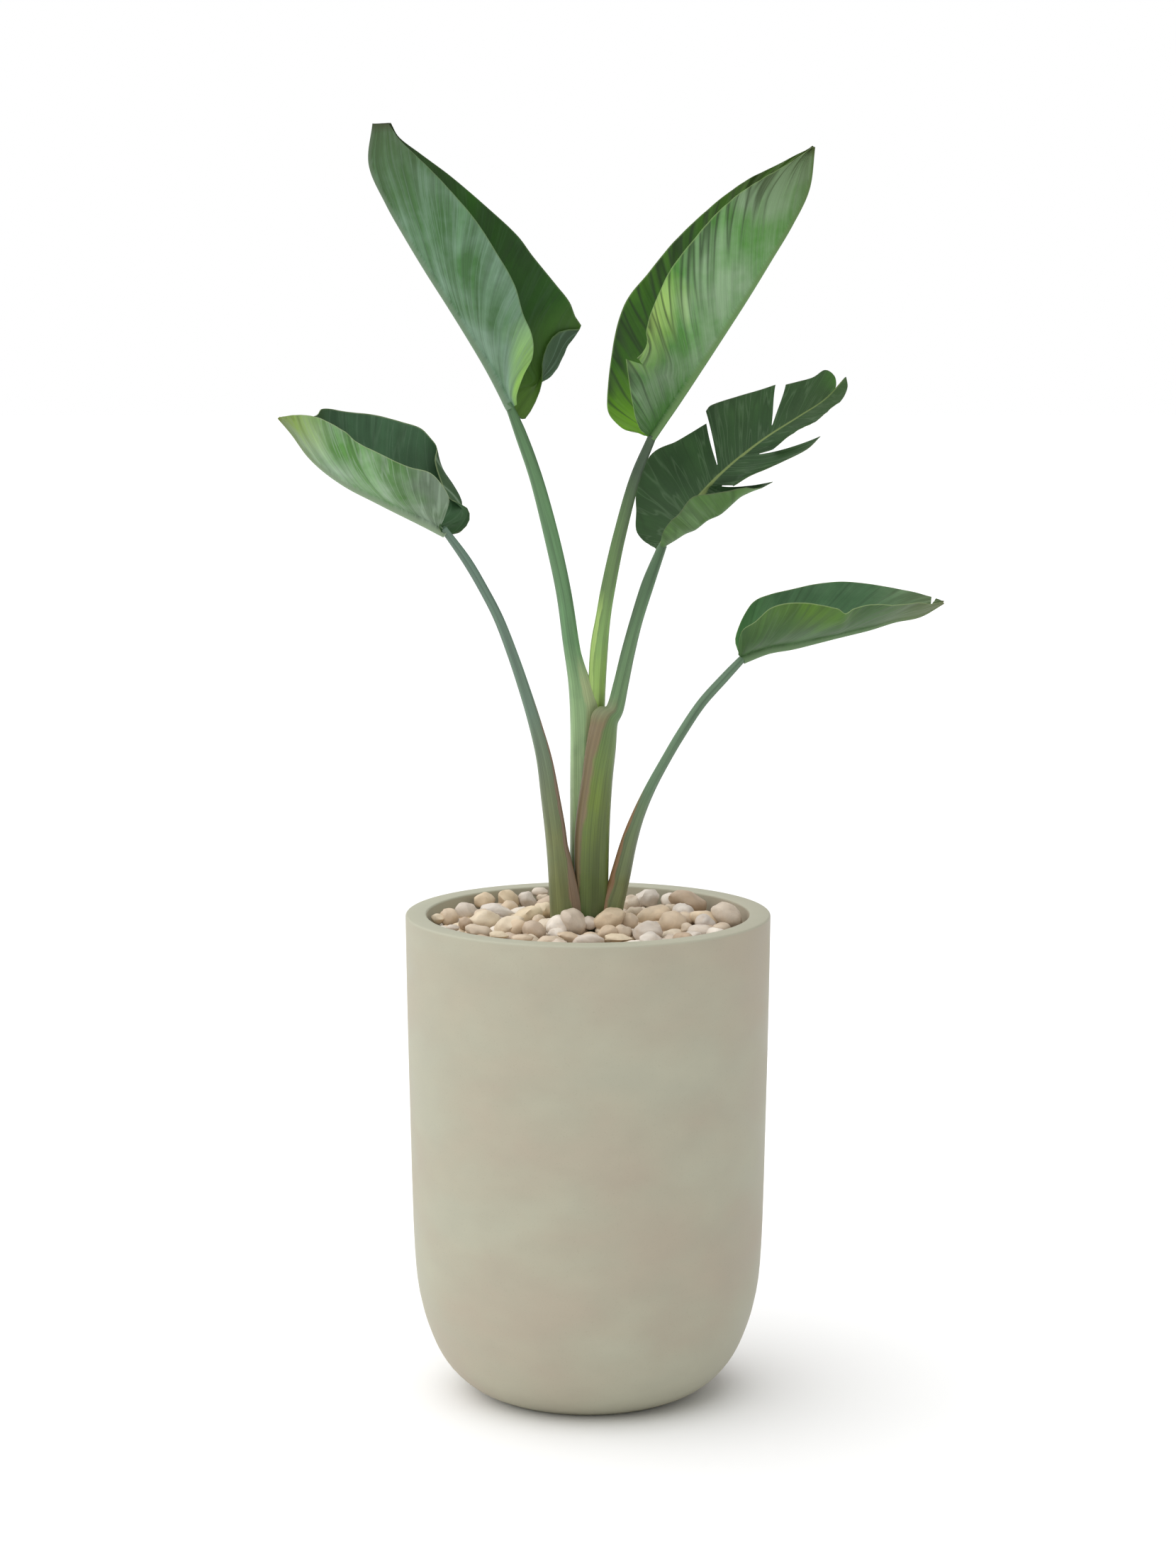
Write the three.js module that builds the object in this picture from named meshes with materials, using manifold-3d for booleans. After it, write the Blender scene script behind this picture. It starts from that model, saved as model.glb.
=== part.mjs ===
// A potted bird of paradise: a round pot of cast stone, filled with soil and topped with river
// pebbles, and a young plant of five leaves. Each leaf is a stalk, which widens into a sheath at
// its foot, and a paddle of two halves folded up along a midrib. The sheaths clasp one another
// and grow from one crown in the soil.
// Millimetres, +Z up, the origin at the centre of the pot's flat foot, the front towards -Y.

import * as THREE from 'three';
import { mergeVertices } from 'three/addons/utils/BufferGeometryUtils.js';
import Module from 'manifold-3d';

// Driving dimensions
const POT_HEIGHT = 670;
const POT_RADIUS = 250;
const POT_WALL = 29;
const POT_FOOT_RADIUS = 138;
const SOIL_TOP = 632;
const FOOT = 611;
const CLUMP = { x: 0, y: 2, halfWidth: 57, halfDepth: 35 };
const BLADE_THICKNESS = 0.9;
const CLEARANCE = 0.3;

const wasm = await Module();
wasm.setup();
const group = new THREE.Group();

// ---------------------------------------------------------------- shared geometry

const MERGE_DISTANCE = 1e-3;

// A closed surface as a solid that can be joined and cut
function toSolid(geometry) {
  const bare = new THREE.BufferGeometry();
  bare.setAttribute('position', geometry.attributes.position);
  bare.setIndex(geometry.index);
  const merged = mergeVertices(bare, MERGE_DISTANCE);
  const triangles = [];
  for (let i = 0; i < merged.index.count; i += 3) {
    const [a, b, c] = [0, 1, 2].map((k) => merged.index.getX(i + k));
    if (a !== b && b !== c && c !== a) triangles.push(a, b, c);
  }
  return new wasm.Manifold(new wasm.Mesh({
    numProp: 3,
    vertProperties: new Float32Array(merged.attributes.position.array),
    triVerts: new Uint32Array(triangles),
  }));
}

// The surface of a solid's largest piece, so that a crumb left by a cut is dropped
function toGeometry(solid) {
  const pieces = solid.decompose();
  pieces.sort((one, other) => other.volume() - one.volume());
  const mesh = pieces[0].getMesh();
  const geometry = new THREE.BufferGeometry();
  geometry.setAttribute('position', new THREE.BufferAttribute(mesh.vertProperties, 3));
  geometry.setIndex(new THREE.BufferAttribute(mesh.triVerts, 1));
  geometry.computeVertexNormals();
  return geometry;
}

function addPart(name, geometry, color, roughness) {
  const material = new THREE.MeshStandardMaterial({ color, roughness, metalness: 0 });
  const mesh = new THREE.Mesh(geometry, material);
  mesh.name = name;
  group.add(mesh);
}

// Indexed geometry from a list of Vector3 and a list of triangles
function fromTriangles(points, triangles) {
  const geometry = new THREE.BufferGeometry();
  geometry.setFromPoints(points);
  geometry.setIndex(triangles.flat());
  return geometry;
}

// A smooth value along a list of stops [t, value, value, ...], passing through every stop
function along(stops, t) {
  const last = stops.length - 1;
  let i = 0;
  while (i < last - 1 && t > stops[i + 1][0]) i += 1;
  const gap = stops[i + 1][0] - stops[i][0];
  const s = (t - stops[i][0]) / gap;
  const slope = (j, k) => {
    const before = stops[Math.max(j - 1, 0)];
    const after = stops[Math.min(j + 1, last)];
    return (after[k] - before[k]) / (after[0] - before[0]);
  };
  return stops[i].slice(1).map((start, n) => {
    const end = stops[i + 1][n + 1];
    const rise = (3 - 2 * s) * s * s;
    const leave = s * (1 - s) ** 2 * gap * slope(i, n + 1);
    const arrive = -s * s * (1 - s) * gap * slope(i + 1, n + 1);
    return start + (end - start) * rise + leave + arrive;
  });
}

// Points spaced evenly in t, as stops for along
const evenStops = (points) => points.map((point, i) => [i / (points.length - 1), ...point]);

// A surface of revolution about Z from a profile of [radius, height]
function turned(profile, segments) {
  const outline = profile.map(([radius, height]) => new THREE.Vector2(radius, height));
  return new THREE.LatheGeometry(outline, segments).rotateX(Math.PI / 2);
}

// The same random draws every time
function seededDraws(seed) {
  let state = seed;
  return () => {
    state = (state * 16807) % 2147483647;
    return state / 2147483647;
  };
}

// ---------------------------------------------------------------- pot

const POT_SEGMENTS = 48;
const RIM_EDGE = 3;
const POT_FLOOR = 36;
const POT_FLOOR_RADIUS = 140;
const POT_INSIDE_LEVELS = [56, 84, 160, 360];
// Outer wall between foot and rim: [height, radius]
const POT_OUTSIDE = [
  [0, POT_FOOT_RADIUS], [12, 163], [32, 187], [56, 205], [84, 218], [118, 229], [160, 237],
  [230, 241.5], [360, 244.7], [520, 248], [POT_HEIGHT - RIM_EDGE, POT_RADIUS],
];
const potInside = (height) => along(POT_OUTSIDE, height)[0] - POT_WALL;

function makePot() {
  const outside = POT_OUTSIDE.map(([height, radius]) => [radius, height]);
  const rim = [
    [POT_RADIUS - RIM_EDGE, POT_HEIGHT],
    [POT_RADIUS - POT_WALL + RIM_EDGE, POT_HEIGHT],
    [POT_RADIUS - POT_WALL, POT_HEIGHT - RIM_EDGE],
  ];
  const inside = POT_INSIDE_LEVELS.map((height) => [potInside(height), height]);
  const floor = [[POT_FLOOR_RADIUS, POT_FLOOR], [0, POT_FLOOR]];
  return turned([[0, 0], ...outside, ...rim, ...inside.reverse(), ...floor], POT_SEGMENTS);
}

addPart('pot', makePot(), 0xbdb8a4, 0.85);

// ---------------------------------------------------------------- stalks

// A stalk is grooved on its upper side, and its foot opens into a channel that clasps the
// stalks inside it. A section runs round the back of the stalk from lip to lip, and returns
// either nearly straight, across the groove, or along the inside of the channel.
const STALK_RINGS = 15;
const SECTION_STEPS = 6;
const LIP_ANGLE = THREE.MathUtils.degToRad(122);
const WALL_SHARE = 0.34;
const GROOVE_SHARE = 0.3;
const AXIS_STEP = 0.01;

const vector = (numbers) => new THREE.Vector3(...numbers);

// One section round centre. side points across the stalk and open the way the groove faces.
function stalkSection({ centre, side, open, halfAcross, halfDeep, hollow }, clear) {
  const across = halfAcross + clear;
  const deep = halfDeep + clear;
  const wall = WALL_SHARE * Math.min(halfAcross, halfDeep) + 2 * clear;
  const lip = (across - wall) * Math.sin(LIP_ANGLE);
  const place = (w, o) => centre.clone().addScaledVector(side, w).addScaledVector(open, o);
  const outer = [];
  const inner = [];
  for (let k = 0; k <= SECTION_STEPS; k += 1) {
    const s = (2 * k) / SECTION_STEPS - 1;
    const angle = s * LIP_ANGLE;
    const lift = (1 - Math.cos(angle)) / (1 - Math.cos(LIP_ANGLE));
    const inside = (across - wall) * Math.sin(angle);
    const groove = place(lip * s, deep - GROOVE_SHARE * deep * (1 - s * s));
    const channel = place(inside, wall - deep + (2 * deep - wall) * lift);
    outer.push(place(across * Math.sin(angle), deep * (2 * lift - 1)));
    inner.push(groove.lerp(channel, hollow));
  }
  return [...outer, ...inner];
}

// path, foot to top: [x, y, z, half across, half deep, hollow 0 to 1]. facing: the way the
// groove faces in plan, in degrees from +X, at the foot and at the top. clear grows the stalk.
function stalkSolid({ path, facing }, clear = 0) {
  const stops = evenStops(path);
  const points = [];
  for (let ring = 0; ring <= STALK_RINGS; ring += 1) {
    const t = ring / STALK_RINGS;
    const [x, y, z, halfAcross, halfDeep, hollow] = along(stops, t);
    const axis = vector(along(stops, Math.min(t + AXIS_STEP, 1)).slice(0, 3));
    axis.sub(vector(along(stops, Math.max(t - AXIS_STEP, 0)).slice(0, 3))).normalize();
    const turn = THREE.MathUtils.degToRad(THREE.MathUtils.lerp(...facing, t));
    const open = new THREE.Vector3(Math.cos(turn), Math.sin(turn), 0);
    open.addScaledVector(axis, -open.dot(axis)).normalize();
    const side = new THREE.Vector3().crossVectors(axis, open);
    const past = (ring === 0 ? -clear : 0) + (ring === STALK_RINGS ? clear : 0);
    const centre = new THREE.Vector3(x, y, z).addScaledVector(axis, past);
    points.push(...stalkSection({ centre, side, open, halfAcross, halfDeep, hollow }, clear));
  }
  return toSolid(fromTriangles(points, stalkTriangles()));
}

function stalkTriangles() {
  const half = SECTION_STEPS + 1;
  const count = 2 * half;
  const loop = [];
  for (let k = 0; k < half; k += 1) loop.push(k);
  for (let k = half - 1; k >= 0; k -= 1) loop.push(half + k);
  const triangles = [];
  for (let ring = 0; ring < STALK_RINGS; ring += 1) {
    const base = ring * count;
    loop.forEach((from, n) => {
      const to = loop[(n + 1) % count];
      triangles.push([base + from, base + count + to, base + to]);
      triangles.push([base + from, base + count + from, base + count + to]);
    });
  }
  const top = STALK_RINGS * count;
  for (let k = 0; k < SECTION_STEPS; k += 1) {
    const [a, b, c, d] = [k, k + 1, half + k + 1, half + k];
    triangles.push([a, b, c], [a, c, d]);
    triangles.push([top + a, top + c, top + b], [top + a, top + d, top + c]);
  }
  return triangles;
}

const STALKS = {
  tall_left: {
    facing: [35, -5],
    path: [
      [-12, 10, FOOT, 17, 12, 0.8], [-12, 10, 665, 17, 12, 0.75], [-12, 10, 760, 17, 12, 0.7],
      [-12, 11, 850, 17, 12, 0.55], [-12, 12, 925, 16.5, 12, 0.4], [-16, 14, 985, 13, 11, 0.12],
      [-24, 17, 1040, 11, 10.5, 0], [-34, 20, 1110, 10.5, 10, 0], [-50, 22, 1185, 10, 10, 0],
      [-70, 22, 1262, 9, 9, 0], [-91, 22, 1322, 8, 8, 0], [-108, 22, 1364, 6, 5, 0],
    ],
  },
  tall_right: {
    facing: [180, 185],
    path: [
      [13, 19, FOOT, 9, 9, 0.1], [13, 19, 680, 9, 9, 0.1], [13, 19, 780, 9.5, 9.5, 0.1],
      [12, 19, 880, 10, 10.5, 0.1], [12, 18, 960, 11, 11.5, 0.1], [15, 16, 1027, 11, 12, 0.05],
      [21, 10, 1075, 9.6, 10, 0], [28.5, 3, 1120, 9.1, 9.5, 0], [42.3, -5, 1185, 8.6, 8.4, 0],
      [62.8, -12, 1262, 7.2, 7.2, 0], [86.8, -18, 1322, 6.4, 5.4, 0],
    ],
  },
  mid_right: {
    facing: [120, 190],
    path: [
      [7, -8, FOOT, 21, 18, 0.85], [7.5, -8, 690, 23, 18, 0.85], [9, -10, 780, 25, 18, 0.8],
      [15, -9, 850, 23.5, 16, 0.7], [22, -6, 900, 21.3, 15, 0.55], [27.5, -3.5, 933, 16, 13.3, 0.3],
      [37.8, 0.5, 951, 10.3, 11.2, 0.08], [45.8, 5, 985, 9.6, 9.8, 0], [54.5, 10, 1025, 9.2, 9.2, 0],
      [66, 17, 1070, 8.6, 8.6, 0], [82, 28, 1120, 8.8, 8.8, 0], [102, 46, 1170, 7.6, 6, 0],
    ],
  },
  low_left: {
    facing: [8, 20],
    path: [
      [-38, -4, FOOT, 20, 14, 0.9], [-38, -4, 665, 20, 14, 0.9], [-41, -7, 730, 19, 13.8, 0.88],
      [-45, -10, 780, 17.5, 13.6, 0.8], [-52, -15, 832, 14.5, 12.2, 0.62],
      [-60, -22, 885, 11.6, 10.2, 0.38], [-71, -29, 930, 9, 8.6, 0.15], [-84, -36, 975, 7.6, 7.6, 0.02],
      [-101, -46, 1028, 6.9, 6.9, 0], [-120, -59, 1080, 6.4, 6.4, 0], [-141, -71, 1123, 6.1, 6.1, 0],
      [-163, -83, 1162, 6, 6, 0], [-192, -97, 1204, 5.5, 4.5, 0],
    ],
  },
  low_right: {
    facing: [172, 165],
    path: [
      [30, -2, FOOT, 20, 18, 0.9], [30, -2, 665, 20, 17.5, 0.9], [40.5, 1, 703, 16.2, 14, 0.87],
      [46.5, 2, 726, 16, 12.7, 0.85], [57, 6, 767, 14, 10.4, 0.72],
      [69.5, 12, 803, 10.6, 8.2, 0.5], [86, 20, 839, 8, 6.8, 0.22],
      [106, 29, 875, 6.6, 6.2, 0.03], [128, 39, 911, 6.4, 6.2, 0], [156, 53, 951, 6, 6, 0],
      [188, 67, 985, 5.8, 5.8, 0], [217, 81, 1014, 5, 4.5, 0],
    ],
  },
};

// The outer sheaths keep their whole form, and each inner one gives way to those round it
const STALK_ORDER = ['low_right', 'low_left', 'mid_right', 'tall_left', 'tall_right'];

STALK_ORDER.forEach((name, i) => {
  let solid = stalkSolid(STALKS[name]);
  STALK_ORDER.slice(0, i).forEach((outer) => {
    solid = solid.subtract(stalkSolid(STALKS[outer], CLEARANCE));
  });
  addPart(`stalk_${name}`, toGeometry(solid), 0x7d9a3c, 0.5);
});

// ---------------------------------------------------------------- blades

// A blade is a midrib with a half on each side of it, seen from the upper face with the tip up.
// A half is made of one or more lobes, torn apart along the side veins. A lobe's edge is a list
// of stops [share of the rib, x, y, z], and the share says which side vein ends there. Between
// rib and edge the blade bows towards its underside, and roll gives stops [share of the rib,
// bow, reach, lean]: reach carries the bow out past the edge and lean towards the stalk, so that
// the edge curls over. A tear between one lobe and the next ends at a column of points, and gap
// is how far it opens on each side.
const BLADE_ROWS = 20;
const FOLD_ROWS = [0.03, 0.06, 0.09, 0.12];
const BLADE_COLUMNS = [0, 0.2, 0.42, 0.64, 0.84, 1];
const RIB_HALF_WIDTH = 4.5;
const RIB_SHARE_MIN = 0.04;
const RIB_SHARE_MAX = 0.5;
const RIB_DEPTH = { base: 11, tip: 2.5, taper: 0.8 };
const RIB_STEP = 0.02;
const TEAR_REACH = 0.05;

// Even rows along the rib, closer where the base folds, with a row at every end of a lobe
function bladeRows(blade) {
  const rows = [];
  const lobes = [...blade.left.lobes, ...blade.right.lobes];
  const ends = lobes.flatMap((lobe) => [lobe[0][0], lobe.at(-1)[0]]);
  const marks = [...new Set([0, 1, ...FOLD_ROWS, ...ends])].sort((one, other) => one - other);
  for (let i = 0; i + 1 < marks.length; i += 1) {
    const steps = Math.max(1, Math.round((marks[i + 1] - marks[i]) * BLADE_ROWS));
    for (let n = 0; n < steps; n += 1) {
      rows.push(THREE.MathUtils.lerp(marks[i], marks[i + 1], n / steps));
    }
  }
  rows.push(1);
  return rows;
}

// Where the side vein from share t of the rib ends. Towards the rib, the two edges of a tear
// are drawn together, so that they meet where it ends.
function edgePoint(half, lobe, t, v) {
  const edge = vector(along(half.lobes[lobe], t));
  half.tears.forEach(({ column, gap }, n) => {
    if (n !== lobe && n !== lobe - 1) return;
    const [before, after] = [half.lobes[n], half.lobes[n + 1]];
    const [own, inwards] = n === lobe ? [before.at(-1), before.at(-2)] : after;
    const middle = vector(before.at(-1).slice(1)).lerp(vector(after[0].slice(1)), 0.5);
    const near = Math.exp(-(((t - own[0]) / TEAR_REACH) ** 2));
    const start = BLADE_COLUMNS[column - 1];
    const joined = 1 - THREE.MathUtils.smoothstep(v, start, 1);
    const away = vector(inwards.slice(1)).sub(vector(own.slice(1))).normalize();
    const bulge = (gap * Math.sin(Math.PI * Math.max(0, (v - start) / (1 - start)))) / v;
    edge.addScaledVector(middle.sub(vector(own.slice(1))), near * joined);
    edge.addScaledVector(away, near * bulge);
  });
  return edge;
}

// A point of the blade on the side vein from share t of the rib, at v from rib to edge
function bladePoint(blade, half, lobe, t, v) {
  const ribStops = evenStops(blade.rib);
  const root = vector(along(ribStops, t));
  const axis = vector(along(ribStops, Math.min(t + RIB_STEP, 1)));
  axis.sub(vector(along(ribStops, Math.max(t - RIB_STEP, 0))));
  if (v === 0) return root;
  const edge = edgePoint(half, lobe, t, v);
  const span = edge.clone().sub(root);
  const under = axis.clone().cross(span).normalize();
  under.multiplyScalar(half === blade.right ? 1 : -1);
  const [bow, reach, lean] = along(half.roll, t);
  const control = root.clone().addScaledVector(span, 0.5 + reach);
  control.addScaledVector(under, bow * span.length());
  control.addScaledVector(axis.normalize(), -lean * span.length());
  const point = root.multiplyScalar((1 - v) ** 2).addScaledVector(control, 2 * v * (1 - v));
  return point.addScaledVector(edge, v * v);
}

// The blade as one sheet of points and triangles, its upper face up
function bladeSheet(blade) {
  const rows = bladeRows(blade);
  const ribStops = evenStops(blade.rib);
  const points = [];
  const depths = [];
  const index = new Map();
  const pointAt = (half, lobe, row, column) => {
    const t = rows[row];
    const tear = half.tears.findIndex((last, n) => (n === lobe || n === lobe - 1)
      && t === half.lobes[n].at(-1)[0] && column <= last.column);
    const owner = tear >= 0 ? `tear ${tear}` : `lobe ${lobe}`;
    const side = half === blade.left ? 'left' : 'right';
    const key = column === 0 ? `rib ${row}` : `${side} ${owner} ${row} ${column}`;
    if (!index.has(key)) {
      const width = vector(along(half.lobes[lobe], t)).distanceTo(vector(along(ribStops, t)));
      const first = THREE.MathUtils.clamp(RIB_HALF_WIDTH / width, RIB_SHARE_MIN, RIB_SHARE_MAX);
      const v = column === 0 ? 0 : THREE.MathUtils.lerp(first, 1, BLADE_COLUMNS[column - 1]);
      const ridge = THREE.MathUtils.lerp(RIB_DEPTH.base, RIB_DEPTH.tip, t ** RIB_DEPTH.taper);
      index.set(key, points.length);
      points.push(bladePoint(blade, half, lobe, t, v));
      depths.push(column === 0 ? ridge : BLADE_THICKNESS / 2);
    }
    return index.get(key);
  };
  const triangles = [];
  [blade.left, blade.right].forEach((half) => {
    half.lobes.forEach((stops, lobe) => {
      for (let row = 0; row + 1 < rows.length; row += 1) {
        if (rows[row] < stops[0][0] || rows[row + 1] > stops.at(-1)[0]) continue;
        for (let column = 0; column < BLADE_COLUMNS.length; column += 1) {
          const a = pointAt(half, lobe, row, column);
          const b = pointAt(half, lobe, row + 1, column);
          const c = pointAt(half, lobe, row + 1, column + 1);
          const d = pointAt(half, lobe, row, column + 1);
          if (half === blade.left) triangles.push([a, b, c], [a, c, d]);
          else triangles.push([a, c, b], [a, d, c]);
        }
      }
    });
  });
  return { points, depths, triangles };
}

// The sheet given its thickness: both faces are split into triangles alike
function bladeSolid(blade) {
  const { points, depths, triangles } = bladeSheet(blade);
  const normals = points.map(() => new THREE.Vector3());
  const edges = new Map();
  triangles.forEach(([a, b, c]) => {
    const face = points[b].clone().sub(points[a]).cross(points[c].clone().sub(points[a]));
    [a, b, c].forEach((corner) => normals[corner].add(face));
    [[a, b], [b, c], [c, a]].forEach(([from, to]) => edges.set(`${from} ${to}`, [from, to]));
  });
  normals.forEach((normal) => normal.normalize());
  const count = points.length;
  const raised = (height) => (point, i) => point.clone().addScaledVector(normals[i], height(i));
  const upper = points.map(raised(() => BLADE_THICKNESS / 2));
  const lower = points.map(raised((i) => -depths[i]));
  const skin = [...triangles];
  triangles.forEach(([a, b, c]) => skin.push([a + count, c + count, b + count]));
  edges.forEach(([from, to]) => {
    if (edges.has(`${to} ${from}`)) return;
    skin.push([from, from + count, to + count], [from, to + count, to]);
  });
  return toSolid(fromTriangles([...upper, ...lower], skin));
}

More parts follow.
